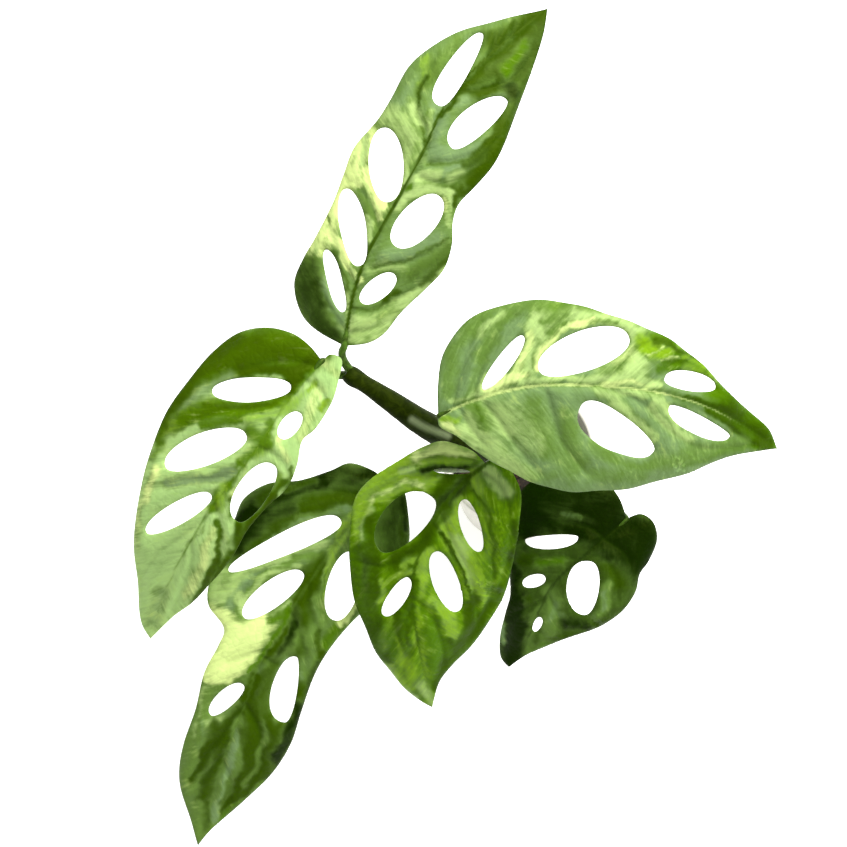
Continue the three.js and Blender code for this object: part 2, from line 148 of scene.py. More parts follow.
def maths(tree, operation, *values):
    # one step of arithmetic on up to three values
    return addNode(tree, "ShaderNodeMath", dict(enumerate(values)), operation=operation).outputs[0]


def attributeOf(tree, name, output="Fac"):
    return addNode(tree, "ShaderNodeAttribute", attribute_name=name).outputs[output]


def noise(tree, place, size, detail, **inputs):
    # smooth noise in lumps of about the given size, in millimetres
    links = {"Vector": place, "Scale": 1 / (size * metre), "Detail": detail, **inputs}
    return addNode(tree, "ShaderNodeTexNoise", links).outputs


def spread(tree, value, low, high, lowMade=0.0, highMade=1.0, **settings):
    # the value, with low to high drawn out to lowMade to highMade
    links = {"Value": value, "From Min": low, "From Max": high, "To Min": lowMade, "To Max": highMade}
    return addNode(tree, "ShaderNodeMapRange", links, **settings).outputs[0]


def mixColours(tree, share, first, second):
    return addNode(tree, "ShaderNodeMix", {0: share, 6: first, 7: second}, data_type="RGBA").outputs[2]


def bumps(tree, height, rise, strength):
    # a relief, given by its full rise in millimetres, that only the light sees
    links = {"Height": height, "Distance": rise * metre, "Strength": strength}
    return addNode(tree, "ShaderNodeBump", links).outputs[0]


def newObject(name, mesh):
    piece = bpy.data.objects.new(name, mesh)
    bpy.context.scene.collection.objects.link(piece)
    return piece


def newMesh(name, points, faces, edges=()):
    mesh = bpy.data.meshes.new(name)
    mesh.from_pydata((np.asarray(points) * metre).tolist(), edges, faces)
    mesh.shade_smooth()
    return mesh


def addValues(mesh, name, values):
    # an attribute with one value for each point
    layer = mesh.attributes.new(name, "FLOAT", "POINT")
    layer.data.foreach_set("value", np.asarray(values).astype(np.float32))


def plainMesh(piece):
    # the piece as its modifiers make it, as a plain mesh
    depsgraph = bpy.context.evaluated_depsgraph_get()
    shown = piece.evaluated_get(depsgraph)
    made = bpy.data.meshes.new_from_object(shown, preserve_all_data_layers=True, depsgraph=depsgraph)
    piece.modifiers.clear()
    piece.data = made
    return piece


def growModifier(piece, tree, inputs):
    modifier = piece.modifiers.new(tree.name, "NODES")
    modifier.node_group = tree
    for item in tree.interface.items_tree:
        if item.item_type == "SOCKET" and item.name in inputs:
            modifier[item.identifier] = inputs[item.name]
    return modifier


def treeWithInputs(name, sockets):
    tree = bpy.data.node_groups.new(name, "GeometryNodeTree")
    tree.interface.new_socket("Geometry", in_out="INPUT", socket_type="NodeSocketGeometry")
    tree.interface.new_socket("Geometry", in_out="OUTPUT", socket_type="NodeSocketGeometry")
    for socketName, kind in sockets.items():
        tree.interface.new_socket(socketName, in_out="INPUT", socket_type=kind)
    return tree, addNode(tree, "NodeGroupInput").outputs


def joinInto(piece, others):
    chosen = [piece, *others]
    with bpy.context.temp_override(active_object=piece, selected_editable_objects=chosen):
        bpy.ops.object.join()
    return piece


def onFrame(piece, node):
    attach(piece, "root")
    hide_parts(node)


# Leaves, in pixels of the drawing, with lift and radius in millimetres.
# midrib, margins: lines from the base to the tip, with a margin for each half
# holes: [end x, end y, other end x, other end y, half width on one side, on the other, skew]
# lift, slope: at equal steps along the midrib, with slope as each half's rise away from it
# bow: how much each half curves up or down across its width
# petiole: where it leaves the vine, its route up to the blade, and its radius at equal steps
# veins: lines from the midrib outwards
# base: how much of each tone lies all over the blade
# juicy: the tones that juicyMixes mixes for this leaf
# tint, paleTint: a turn of the hue, all over and where the light tone lies
# lines: how dark the midrib and the veins are drawn
# rib: the midrib's [tone, half width, strength]
# strokes: [tone, half width, strength, x, y, further x, further y ...], later ones over earlier ones
# The strokes paint the variegation and, in places marked below, painted shade and painted light
leaves = {
    "leaf_top": {
        "midrib": [
            [344, 346], [352, 300], [364, 262], [380, 230], [402, 192], [424, 150], [440, 114],
            [462, 82], [500, 46], [548, 8],
        ],
        "margins": [
            [
                [344, 346], [321, 333], [301, 314], [295, 283], [304, 258], [315, 239], [333, 203],
                [343, 175], [354, 147], [377, 120], [391, 98], [408, 67], [430, 48], [466, 29],
                [505, 19], [548, 8],
            ],
            [
                [344, 346], [368, 343], [385, 333], [402, 312], [426, 289], [444, 269], [452, 245],
                [453, 222], [459, 204], [475, 187], [493, 166], [505, 143], [519, 105], [532, 69],
                [543, 35], [548, 8],
            ],
        ],
        "holes": [
            [326, 250, 343, 312, 7.5, 8, 0],
            [346, 189, 359, 266, 12.5, 13.5, 0],
            [384, 128, 388, 202, 17, 17.5, 0],
            [482, 33, 438, 105, 14, 9.5, 0.3],
            [506, 100, 451, 147, 18.5, 10.5, 0.1],
            [440, 197, 394, 245, 17, 18, 0],
            [395, 275, 361, 302, 10.5, 10.5, 0],
        ],
        "lift": [-1, 5, 6, -5],
        "slope": [[-0.3, -0.05, 0], [-0.1, 0.08, -0.1]],
        "bow": [-1.5, -1.5],
        "petiole": {
            "leaves": 0.975,
            "route": [[344, 361, -6], [342, 352, -3]],
            "radius": [1.5, 1.4, 1.3],
        },
        "veins": [
            [[426, 148], [427, 132], [419, 116], [418, 96], [425, 78], [436, 56]],
            [[488, 57], [494, 44], [498, 30]],
            [[511, 37], [514, 27], [516, 18]],
            [[379, 230], [373, 208], [361, 190], [350, 181]],
            [[394, 206], [378, 192], [367, 170], [366, 138]],
            [[357, 288], [345, 262], [334, 240], [329, 220]],
            [[347, 333], [330, 305], [317, 280], [311, 258]],
            [[461, 92], [480, 90], [505, 83], [522, 70], [535, 50]],
            [[430, 163], [455, 160], [478, 149], [495, 132]],
            [[421, 178], [447, 183], [467, 173], [484, 156], [497, 138]],
            [[372, 268], [395, 263], [420, 257], [449, 239]],
            [[352, 310], [378, 306], [405, 294], [430, 277], [447, 255]],
            [[347, 333], [370, 329], [395, 317]],
        ],
        "base": {"grey": 0.35},
        "tint": -0.003,
        "lines": [0.2, 0.4],
        "rib": ["dark", 2.1, 0.85],
        "strokes": [
            ["grey", 12, 0.8, 395, 105, 408, 78, 430, 58, 466, 36],
            ["mid", 9, 0.6, 398, 92, 412, 72, 436, 52, 468, 34],
            ["mid", 8, 0.9, 424, 84, 440, 62, 460, 46],
            ["dark", 7, 0.4, 428, 84, 436, 66],
            ["light", 14, 0.65, 391, 114, 404, 130, 412, 150],
            ["light", 6, 0.6, 412, 104, 421, 122],
            ["lime", 5, 0.45, 428, 58, 424, 72, 421, 84],
            ["grey", 9, 0.8, 436, 106, 440, 120, 434, 134],
            ["grey", 5, 0.8, 452, 104, 476, 97, 504, 96],
            ["light", 4, 0.6, 430, 112, 430, 140],
            ["dark", 2.2, 0.75, 427, 66, 422, 86, 417, 106, 421, 126, 425, 146],
            ["dark", 4, 0.5, 423, 80, 419, 96],
            ["fresh", 4, 0.6, 428, 56, 424, 72],
            ["dark", 4, 0.85, 472, 80, 452, 102, 440, 118],
            ["mid", 8, 1, 490, 40, 514, 28, 540, 14],
            ["dark", 12, 0.5, 486, 46, 510, 32, 540, 16],
            ["dark", 6, 0.6, 491, 36, 492, 54, 482, 70],
            ["dark", 9, 0.3, 494, 44, 520, 26],
            ["dark", 17, 1, 480, 88, 502, 72, 526, 50, 541, 18],
            ["deep", 14, 0.3, 486, 70, 508, 66, 526, 46],
            ["mid", 5, 0.5, 474, 88, 490, 82],
            ["dark", 8, 0.6, 536, 20, 530, 44, 520, 66],
            ["dark", 5, 0.8, 536, 48, 524, 80],
            ["olive", 7, 0.9, 505, 72, 514, 60, 525, 47],
            ["dark", 2.5, 0.7, 458, 94, 484, 90, 506, 86],
            ["dark", 4, 0.8, 462, 88, 480, 72, 500, 54, 524, 34, 546, 12],
            ["dark", 5, 0.9, 488, 90, 512, 82, 530, 64, 540, 38, 547, 14],
            ["dark", 9, 1, 524, 84, 515, 104, 510, 120],
            ["deep", 8, 0.8, 506, 86, 514, 97],
            ["light", 4, 0.6, 414, 106, 420, 122],
            ["dark", 3, 0.6, 500, 44, 506, 30, 512, 22],
            ["dark", 3, 0.6, 516, 34, 524, 20],
            ["grey", 9, 0.8, 436, 152, 462, 156, 486, 146],
            ["grey", 6, 0.7, 430, 174, 456, 172, 474, 162],
            ["dark", 6, 0.7, 488, 146, 474, 160, 456, 170],
            # partly painted shade: the right margin slopes away from the light
            ["dark", 10, 1, 516, 112, 505, 136, 494, 156, 482, 172, 472, 182],
            ["dark", 5, 0.9, 504, 112, 497, 130, 486, 146],
            ["dark", 2.5, 0.5, 428, 164, 452, 163, 474, 155, 494, 138],
            ["grey", 5, 0.9, 410, 180, 436, 175, 458, 168],
            ["light", 5, 0.6, 408, 182, 424, 176, 440, 173],
            ["dark", 3, 0.5, 430, 186, 450, 184, 468, 176, 488, 160],
            ["dark", 5, 0.8, 448, 187, 460, 188],
            ["light", 5, 0.6, 450, 178, 462, 174],
            ["light", 5, 0.8, 404, 158, 404, 186],
            ["mid", 4, 0.6, 417, 146, 411, 168],
            ["light", 5, 0.9, 418, 179, 436, 178],
            ["light", 6, 0.9, 404, 192, 426, 190, 448, 190],
            ["olive", 3, 0.8, 410, 186, 402, 202],
            ["light", 5, 0.9, 408, 194, 398, 208],
            ["light", 5, 0.9, 452, 192, 450, 206],
            ["dark", 5, 0.8, 462, 194, 474, 188],
            ["cream", 13, 1, 372, 134, 356, 152, 346, 176, 334, 206, 324, 232, 316, 248],
            ["light", 4, 0.5, 353, 158, 348, 172],
            ["light", 4, 0.6, 318, 240, 314, 252],
            ["cream", 7, 1, 362, 150, 366, 168, 374, 188, 385, 205],
            ["light", 5, 0.9, 366, 136, 364, 166],
            ["cream", 3.5, 0.9, 356, 170, 361, 186],
            ["mid", 4.5, 0.8, 361, 197, 368, 206, 372, 218, 377, 230],
            ["mid", 4, 0.8, 391, 206, 386, 220],
            ["light", 4, 0.8, 368, 218, 371, 240],
            ["cream", 4, 0.8, 379, 205, 379, 218],
            ["cream", 5, 1, 334, 236, 342, 250, 351, 266, 358, 280],
            ["cream", 4, 0.7, 347, 168, 355, 180],
            ["mid", 2.5, 0.8, 329, 218, 331, 238],
            ["dark", 3, 0.6, 333, 252, 339, 264, 345, 280, 349, 298],
            ["cream", 4, 0.8, 331, 232, 341, 246],
            ["light", 3, 0.8, 354, 266, 356, 286],
            # partly painted shade: the lower left lobe slopes away from the light
            ["dark", 14, 1, 306, 268, 304, 290, 312, 312, 328, 330, 340, 342],
            ["deep", 15, 0.7, 308, 272, 308, 293, 318, 315, 334, 333],
            ["deep", 7, 0.6, 317, 284, 323, 303],
            ["grey", 6, 0.7, 328, 280, 333, 302, 340, 318, 345, 330],
            ["light", 4, 0.7, 347, 296, 349, 312, 349, 330],
            ["grey", 8, 0.7, 384, 257, 410, 251, 436, 238],
            ["light", 7, 0.4, 372, 268, 386, 262],
            ["dark", 9, 0.5, 410, 274, 430, 264, 446, 250],
            ["light", 6, 0.4, 384, 270, 404, 266],
            ["dark", 2.5, 0.5, 376, 267, 398, 262, 424, 251, 448, 238],
            ["dark", 2.5, 0.6, 453, 240, 450, 258, 440, 274],
            ["light", 14, 0.45, 356, 330, 378, 322],
            ["light", 7, 0.5, 358, 322, 374, 320, 392, 312],
            ["light", 5, 0.5, 352, 342, 376, 340, 390, 330],
            ["light", 5, 0.6, 372, 334, 388, 326],
            ["mid", 4, 0.6, 382, 316, 398, 309],
            ["light", 7, 0.95, 447, 270, 424, 289, 402, 303, 388, 318],
            ["dark", 2.5, 0.55, 354, 307, 374, 307, 390, 299],
            ["dark", 4, 0.8, 386, 300, 400, 291],
            ["mid", 7, 0.7, 380, 317, 400, 307],
            ["light", 5, 0.6, 400, 304, 410, 296],
            ["dark", 4, 0.6, 422, 284, 436, 272, 448, 258],
            ["cream", 4, 0.6, 443, 200, 445, 212],
            ["dark", 4, 0.9, 456, 196, 453, 208],
            ["light", 4, 0.6, 448, 212, 450, 222],
            # partly painted shade over the tip
            ["deep", 12, 0.35, 541, 28, 530, 62, 517, 94, 508, 112],
        ],
    },
    "leaf_left": {
        "midrib": [
            [322, 361], [303, 382], [287, 402], [268, 432], [247, 462], [217, 500], [190, 542],
            [166, 590], [150, 640],
        ],
        "margins": [
            [
                [322, 361], [310, 346], [292, 333], [268, 328], [239, 332], [213, 352], [189, 381],
                [168, 411], [153, 446], [142, 480], [136, 515], [135, 555], [138, 590], [142, 622],
                [150, 640],
            ],
            [
                [322, 361], [330, 354], [342, 360], [339, 379], [332, 402], [316, 428], [302, 441],
                [297, 465], [287, 488], [266, 508], [247, 530], [232, 557], [210, 583], [192, 602],
                [173, 617], [150, 640],
            ],
        ],
        "holes": [
            [212, 391, 291, 387, 13, 11.5, 0],
            [165, 466, 247, 436, 14, 18.5, 0],
            [147, 532, 212, 495, 10, 12, 0],
            [280, 438, 300, 413, 9, 9.5, 0],
            [236, 521, 274, 465, 12.5, 18.5, 0],
        ],
        "lift": [1, 4, -6, -32],
        "slope": [[-0.1, -0.2, -0.15], [0.15, -0.3, -0.3]],
        "bow": [-2, -1],
        "petiole": {
            "leaves": 0.99,
            "route": [[340, 375, -10.5], [330, 369, -6]],
            "radius": [1.5, 1.5, 1.3],
        },
        "veins": [
            [[316, 366], [290, 362], [250, 367], [215, 378], [185, 398], [163, 428]],
            [[293, 394], [262, 406], [228, 410], [190, 424], [160, 446]],
            [[240, 471], [215, 478], [180, 480], [146, 492]],
            [[205, 517], [185, 534], [160, 552], [140, 580]],
            [[214, 504], [222, 530], [218, 560], [206, 588]],
            [[232, 480], [237, 505], [236, 530], [228, 552]],
            [[258, 447], [276, 456], [287, 470], [284, 488], [262, 512]],
            [[305, 380], [320, 390], [325, 404], [312, 424]],
            [[190, 542], [192, 560], [184, 585], [172, 612]],
        ],
        "base": {"light": 0.8, "cream": 0.12},
        "juicy": ["mid", "dark"],
        "tint": -0.01,
        "paleTint": 0.024,
        "lines": [0, 0.22],
        "rib": ["olive", 1.5, 0.4],
        "strokes": [
            # partly painted shade: the dark upper lobe turns away from the light
            ["olive", 21, 1, 314, 356, 280, 346, 244, 348, 216, 366],
            ["dark", 9, 0.5, 316, 350, 292, 336, 262, 332],
            ["dark", 8, 0.5, 290, 350, 256, 356, 236, 364],
            ["dark", 20, 0.6, 300, 360, 262, 352, 226, 366],
            ["dark", 6, 0.9, 298, 376, 276, 371, 244, 370],
            ["dark", 8, 0.5, 262, 340, 236, 344],
            ["dark", 6, 1, 324, 353, 310, 360, 299, 370],
            ["dark", 6, 0.7, 236, 374, 268, 369, 300, 373],
            ["dark", 12, 0.9, 236, 338, 208, 362, 184, 394, 168, 424],
            ["dark", 7, 1, 297, 372, 290, 388, 281, 400],
            ["grey", 9, 0.7, 232, 377, 210, 388, 194, 402, 176, 424],
            ["dark", 3, 0.6, 214, 401, 250, 403, 288, 399],
            ["mid", 9, 0.8, 178, 424, 196, 412, 216, 404],
            ["olive", 9, 0.95, 182, 420, 216, 412, 250, 411, 286, 404],
            ["dark", 4, 0.6, 206, 405, 240, 406, 278, 404],
            ["olive", 5, 0.8, 204, 425, 240, 421],
            ["mid", 6, 0.7, 171, 426, 160, 444, 154, 458],
            ["light", 4, 0.9, 176, 438, 198, 430],
            ["fresh", 7, 0.9, 250, 421, 266, 418, 284, 411, 304, 396],
            ["light", 13, 1, 337, 366, 323, 388, 309, 412, 299, 434],
            ["cream", 8, 0.5, 318, 392, 310, 414, 302, 438],
            ["cream", 6, 0.45, 328, 362, 338, 374],
            ["lime", 4, 0.6, 309, 390, 316, 384],
            ["dark", 5, 0.6, 308, 372, 316, 364],
            ["lime", 3.5, 0.7, 322, 410, 328, 400],
            ["light", 9, 0.9, 284, 428, 286, 444, 290, 462, 284, 478],
            ["cream", 4, 0.5, 282, 432, 280, 446, 288, 460],
            ["mid", 5, 0.7, 280, 474, 272, 494],
            ["light", 9, 0.8, 262, 450, 246, 476, 232, 500],
            ["cream", 4, 0.5, 247, 464, 238, 482, 232, 500],
            ["fresh", 6, 0.7, 256, 456, 266, 450],
            ["olive", 9, 0.75, 251, 432, 264, 439],
            ["olive", 5, 0.7, 268, 424, 272, 440],
            ["olive", 6, 0.7, 268, 446, 256, 450, 243, 459],
            ["olive", 6, 0.9, 241, 466, 231, 482],
            ["olive", 7, 1, 227, 488, 216, 504],
            ["lime", 4, 0.5, 226, 490, 217, 504],
            ["light", 4, 0.7, 241, 470, 236, 484],
            ["dark", 3.5, 0.7, 231, 500, 231, 520],
            ["fresh", 4, 0.7, 223, 486, 222, 510],
            ["dark", 9, 1, 271, 503, 255, 522, 243, 540, 235, 554],
            ["dark", 4, 0.8, 283, 480, 272, 500],
            ["dark", 5, 0.9, 239, 523, 232, 540],
            ["dark", 3, 0.6, 293, 466, 286, 490],
            ["grey", 8, 1, 170, 481, 198, 479, 230, 472],
            ["light", 4, 0.8, 146, 482, 164, 478],
            ["light", 4, 0.7, 206, 470, 234, 462],
            ["light", 7, 1, 144, 502, 170, 496, 206, 489],
            ["cream", 6, 0.8, 157, 472, 152, 484, 146, 500],
            ["dark", 5, 0.6, 167, 428, 160, 442],
            ["light", 9, 0.9, 140, 506, 152, 524, 140, 542],
            ["cream", 5, 0.5, 140, 500, 138, 522, 139, 545],
            ["light", 28, 0.6, 162, 545, 156, 575, 150, 602],
            ["light", 10, 1, 209, 522, 201, 550, 189, 577, 174, 602],
            ["cream", 6, 0.6, 211, 530, 205, 550, 197, 574, 186, 594],
            ["dark", 4, 0.9, 214, 560, 205, 582, 195, 599],
            ["light", 5, 0.6, 190, 556, 184, 576, 174, 598],
            ["light", 5, 0.6, 230, 522, 233, 546],
            ["dark", 3.5, 0.8, 216, 522, 220, 544, 215, 566, 203, 588],
            ["dark", 4, 0.9, 225, 558, 214, 584],
            ["grey", 8, 0.6, 162, 590, 154, 622],
            ["dark", 2, 0.3, 214, 506, 200, 528, 184, 556],
        ],
    },
    "leaf_low_left": {
        "midrib": [
            [388, 482], [352, 522], [318, 570], [290, 612], [262, 656], [246, 702], [231, 738],
            [219, 775], [207, 815], [198, 845],
        ],
        "margins": [
            [
                [388, 482], [372, 470], [350, 463], [330, 471], [300, 480], [268, 484], [244, 498],
                [234, 520], [221, 552], [210, 582], [209, 606], [224, 628], [219, 645], [205, 672],
                [196, 708], [183, 745], [179, 775], [186, 805], [198, 845],
            ],
            [
                [388, 482], [403, 488], [408, 515], [409, 545], [398, 575], [378, 600], [357, 617],
                [339, 636], [323, 658], [312, 680], [301, 713], [291, 744], [272, 774], [246, 799],
                [213, 827], [198, 845],
            ],
        ],
        "holes": [
            [229, 571, 341, 521, 9.5, 14, 0.3],
            [244, 617, 303, 573, 11.5, 14.5, 0],
            [210, 715, 244, 685, 7, 10.5, 0],
            [334, 620, 352, 552, 16, 16, 0],
            [284, 722, 296, 657, 7, 18.5, -0.2],
        ],
        "lift": [-27, -23, -28, -46],
        "slope": [[-0.05, -0.1, 0], [-0.2, -0.25, -0.1]],
        "bow": [-1.5, -1.5],
        "petiole": {
            "leaves": 0.33,
            "route": [[486, 465, -72], [455, 468, -53], [425, 469, -38], [402, 476, -30]],
            "radius": [2.2, 2, 1.8, 1.5, 1.3],
        },
        "veins": [
            [[372, 500], [345, 492], [305, 492], [262, 510], [238, 540]],
            [[336, 545], [304, 552], [272, 565], [250, 582], [230, 610]],
            [[346, 530], [325, 546], [290, 549], [255, 566], [225, 590]],
            [[266, 650], [250, 654], [228, 662]],
            [[243, 706], [222, 735], [203, 760], [190, 778]],
            [[226, 752], [208, 773], [192, 800]],
            [[364, 508], [350, 535], [330, 568], [322, 600], [326, 622]],
            [[309, 584], [309, 606], [318, 630], [326, 648]],
            [[290, 612], [300, 636], [306, 660], [306, 690]],
            [[262, 656], [276, 664], [286, 662]],
            [[245, 704], [260, 732], [260, 762], [246, 790]],
            [[224, 760], [231, 785], [224, 812]],
        ],
        "base": {"grey": 0.3, "dark": 0.3},
        "tint": -0.003,
        "lines": [0.2, 0.4],
        "rib": ["olive", 2, 0.3],
        "strokes": [
            # painted shade: the top of this blade lies under the leaves above it
            ["deep", 15, 1, 374, 480, 330, 478, 290, 490, 256, 508, 240, 534],
            ["dark", 12, 0.9, 366, 494, 322, 502, 286, 516, 262, 532, 240, 554],
            ["deep", 10, 0.8, 262, 508, 244, 528, 236, 546],
            ["mid", 4, 0.3, 330, 486, 348, 479, 368, 483],
            ["deep", 8, 0.7, 238, 552, 252, 534, 272, 518, 292, 508],
            ["grey", 5, 0.9, 270, 541, 296, 528, 322, 516, 348, 508],
            ["light", 3.5, 0.6, 264, 546, 292, 531, 320, 518],
            # painted shade on the right lobe, which lies under leaf_centre
            ["dark", 16, 1, 400, 496, 394, 540, 390, 574],
            ["deep", 5, 0.8, 405, 500, 407, 530],
            ["mid", 4, 0.4, 396, 518, 393, 544],
            ["dark", 8, 0.8, 276, 490, 262, 500],
            ["dark", 6, 0.8, 288, 489, 312, 481],
            ["mid", 5, 0.2, 328, 478, 356, 472],
            ["mid", 3, 0.5, 296, 518, 320, 512, 340, 511],
            ["mid", 4, 0.6, 342, 548, 328, 576],
            ["dark", 4, 0.7, 319, 590, 322, 615],
            ["dark", 4, 0.4, 300, 556, 330, 547],
            ["light", 8, 0.8, 224, 570, 214, 590, 220, 610],
            ["grey", 9, 1, 334, 546, 300, 554, 268, 566, 240, 584, 228, 606],
            ["light", 7, 0.7, 326, 544, 298, 552, 262, 564, 236, 580, 222, 600],
            ["mid", 3.5, 0.9, 318, 555, 290, 561, 266, 574, 248, 594],
            ["light", 4, 0.6, 300, 565, 276, 571, 258, 584, 243, 604],
            ["light", 6, 0.9, 247, 612, 239, 597],
            ["dark", 7, 0.5, 330, 552, 312, 564, 300, 586],
            ["dark", 9, 1, 322, 564, 308, 590, 296, 614, 281, 640, 264, 668, 250, 698],
            ["fresh", 6, 1, 353, 512, 345, 530, 335, 550, 327, 572, 325, 592],
            ["dark", 9, 0.7, 304, 602, 301, 628, 297, 650],
            ["deep", 6, 0.6, 293, 622, 290, 652],
            ["mid", 5, 0.7, 282, 622, 271, 642],
            ["olive", 3, 0.6, 326, 570, 321, 600],
            ["mid", 6, 0.7, 318, 594, 322, 616, 310, 640],
            ["olive", 7, 0.8, 344, 620, 330, 638, 318, 658],
            ["cream", 4, 0.9, 362, 596, 352, 609, 340, 621],
            ["dark", 4, 0.7, 318, 632, 317, 656],
            ["cream", 17, 1, 220, 622, 234, 640, 222, 662],
            ["cream", 13, 1, 262, 622, 250, 645, 236, 665, 217, 671],
            ["cream", 5, 0.8, 209, 664, 206, 680],
            ["cream", 5, 0.5, 222, 680, 240, 672],
            ["dark", 4, 0.6, 250, 680, 244, 696],
            ["light", 5, 0.6, 210, 724, 222, 716],
            ["grey", 5, 0.6, 276, 656, 262, 668],
            ["mid", 5, 0.7, 206, 692, 222, 685],
            ["light", 4, 0.7, 274, 615, 290, 604],
            ["olive", 5, 0.8, 288, 611, 270, 621],
            ["olive", 2.5, 0.8, 292, 604, 281, 626, 267, 648, 251, 670],
            ["deep", 4, 0.7, 296, 624, 279, 652, 263, 680, 252, 702],
            ["mid", 6, 0.5, 302, 632, 290, 650],
            ["grey", 3, 0.5, 286, 658, 276, 670],
            ["dark", 9, 0.6, 274, 664, 264, 686, 264, 710],
            ["dark", 6, 1, 322, 654, 313, 684, 303, 716],
            ["grey", 2.5, 0.6, 302, 672, 299, 704],
            ["light", 5, 0.6, 205, 690, 201, 714, 196, 732],
            ["mid", 6, 0.8, 208, 694, 206, 716],
            ["mid", 9, 0.9, 196, 740, 192, 762, 194, 786],
            ["dark", 7, 0.95, 240, 712, 222, 733, 206, 754, 194, 776],
            ["dark", 5, 0.8, 226, 738, 216, 764],
            ["dark", 5, 0.7, 217, 722, 212, 740],
            ["grey", 4, 0.6, 202, 724, 200, 746],
            ["mid", 4, 0.8, 200, 722, 199, 748, 189, 776],
            ["dark", 6, 0.8, 214, 770, 205, 790, 200, 800],
            ["dark", 7, 0.95, 250, 700, 256, 733, 250, 762, 238, 790, 220, 812],
            ["mid", 7, 1, 241, 722, 235, 750, 227, 778, 216, 806, 208, 826],
            ["grey", 5, 0.8, 239, 732, 231, 762, 223, 790, 213, 816],
            ["dark", 4, 0.5, 246, 716, 252, 750],
            ["dark", 13, 1, 304, 692, 292, 730, 274, 762, 262, 776],
            ["deep", 6, 0.6, 300, 712, 288, 742, 273, 766],
            ["dark", 9, 0.8, 284, 724, 270, 746, 258, 770, 246, 790],
            ["dark", 6, 0.6, 250, 720, 252, 745, 244, 772],
            ["dark", 5, 0.8, 258, 742, 257, 764],
            ["dark", 6, 0.8, 264, 764, 246, 790, 232, 806],
            ["dark", 5, 0.8, 267, 716, 272, 730],
            ["deep", 8, 0.9, 300, 704, 288, 734, 276, 756],
            ["dark", 6, 0.7, 243, 730, 252, 764],
            ["dark", 4, 0.6, 207, 804, 204, 828],
            ["dark", 4, 0.6, 251, 776, 240, 792],
            ["dark", 4, 0.6, 228, 784, 222, 800],
            ["mid", 4, 0.5, 237, 770, 231, 784],
            ["deep", 5, 0.7, 315, 664, 307, 692],
            ["mid", 4, 0.6, 264, 738, 257, 762, 244, 784],
            ["dark", 5, 0.4, 206, 796, 208, 826],
            ["olive", 3, 0.7, 262, 784, 236, 804, 210, 828],
            ["mid", 7, 0.9, 199, 806, 199, 834],
            # more painted shade on the right lobe under leaf_centre
            ["deep", 11, 0.6, 396, 505, 390, 530, 388, 552],
            ["deep", 6, 0.5, 297, 610, 291, 640],
        ],
    },
    "leaf_centre": {
        "midrib": [
            [486, 464], [466, 480], [448, 500], [436, 518], [423, 545], [414, 572], [412, 602],
            [417, 637], [424, 671], [432, 707],
        ],
        "margins": [
            [
                [486, 464], [474, 452], [459, 445], [441, 441], [420, 448], [398, 461], [371, 479],
                [356, 497], [351, 525], [349, 560], [355, 600], [367, 632], [382, 661], [400, 682],
                [417, 699], [432, 707],
            ],
            [
                [486, 464], [494, 457], [505, 463], [515, 477], [521, 495], [519, 525], [514, 558],
                [504, 593], [488, 621], [471, 645], [453, 664], [439, 683], [432, 707],
            ],
        ],
        "holes": [
            [434, 470, 470, 472, 3.2, 2.6, 0],
            [380, 550, 433, 498, 15.5, 26, 0.05],
            [464, 499, 480, 551, 11.5, 8, 0],
            [383, 615, 409, 578, 10, 7.5, 0],
            [435, 551, 458, 611, 14, 11.5, 0],
        ],
        "lift": [1, -4, -13, -34],
        "slope": [[0.05, -0.2, -0.2], [0, -0.3, -0.2]],
        "bow": [-1.5, -2],
        "petiole": {
            "leaves": 0.47,
            "route": [[514, 462, -42], [512, 459, -22], [497, 461, -6]],
            "radius": [2.1, 1.9, 1.6, 1.3],
        },
        "veins": [
            [[466, 480], [480, 500], [489, 530], [493, 565], [489, 600], [470, 636]],
            [[480, 470], [502, 488], [511, 518], [509, 555], [498, 590]],
            [[440, 513], [452, 540], [466, 566], [474, 595], [477, 622]],
            [[433, 524], [446, 543], [459, 568], [467, 602]],
            [[413, 598], [430, 614], [440, 636], [444, 664]],
            [[470, 476], [436, 476], [402, 480], [374, 494], [358, 524]],
            [[474, 460], [440, 456], [408, 466], [380, 482]],
            [[426, 538], [406, 556], [384, 566], [356, 560]],
            [[414, 574], [398, 584], [384, 608], [372, 636]],
            [[413, 606], [400, 630], [388, 652]],
            [[418, 640], [406, 660], [402, 676]],
        ],
        "base": {"olive": 0.95, "lime": 0.3},
        "juicy": ["mid", "dark", "light", "fresh"],
        "lines": [0.2, 0.4],
        "rib": ["dark", 2.2, 0.6],
        "strokes": [
            # the upper band: its own lime and cream, painted paler still as painted light where it turns away
            # from the light
            ["fresh", 10, 1, 474, 452, 446, 447, 416, 454, 390, 468, 368, 486, 357, 508],
            ["light", 5, 0.7, 478, 449, 450, 443, 424, 450],
            ["cream", 7, 0.85, 470, 457, 446, 452, 418, 458],
            ["cream", 4, 0.5, 430, 447, 454, 444],
            ["olive", 4, 0.5, 418, 470, 396, 478, 380, 488],
            ["fresh", 8, 0.95, 424, 480, 408, 479, 388, 487, 369, 500, 361, 520],
            ["cream", 4, 0.5, 424, 484, 404, 484, 380, 494, 366, 512],
            ["fresh", 5, 0.8, 368, 504, 361, 524],
            ["light", 4, 0.8, 372, 512, 364, 530, 360, 548],
            ["fresh", 4, 0.8, 382, 500, 394, 492, 408, 489],
            ["olive", 5, 0.8, 402, 498, 386, 508, 376, 526],
            ["fresh", 5, 0.9, 424, 460, 446, 458, 470, 461],
            ["olive", 3, 0.6, 416, 463, 430, 465],
            ["light", 4, 0.8, 402, 472, 416, 468],
            # painted shade along the slit under the fold
            ["deep", 4, 0.95, 424, 469, 446, 468, 480, 470],
            ["light", 3, 0.6, 438, 479, 466, 478],
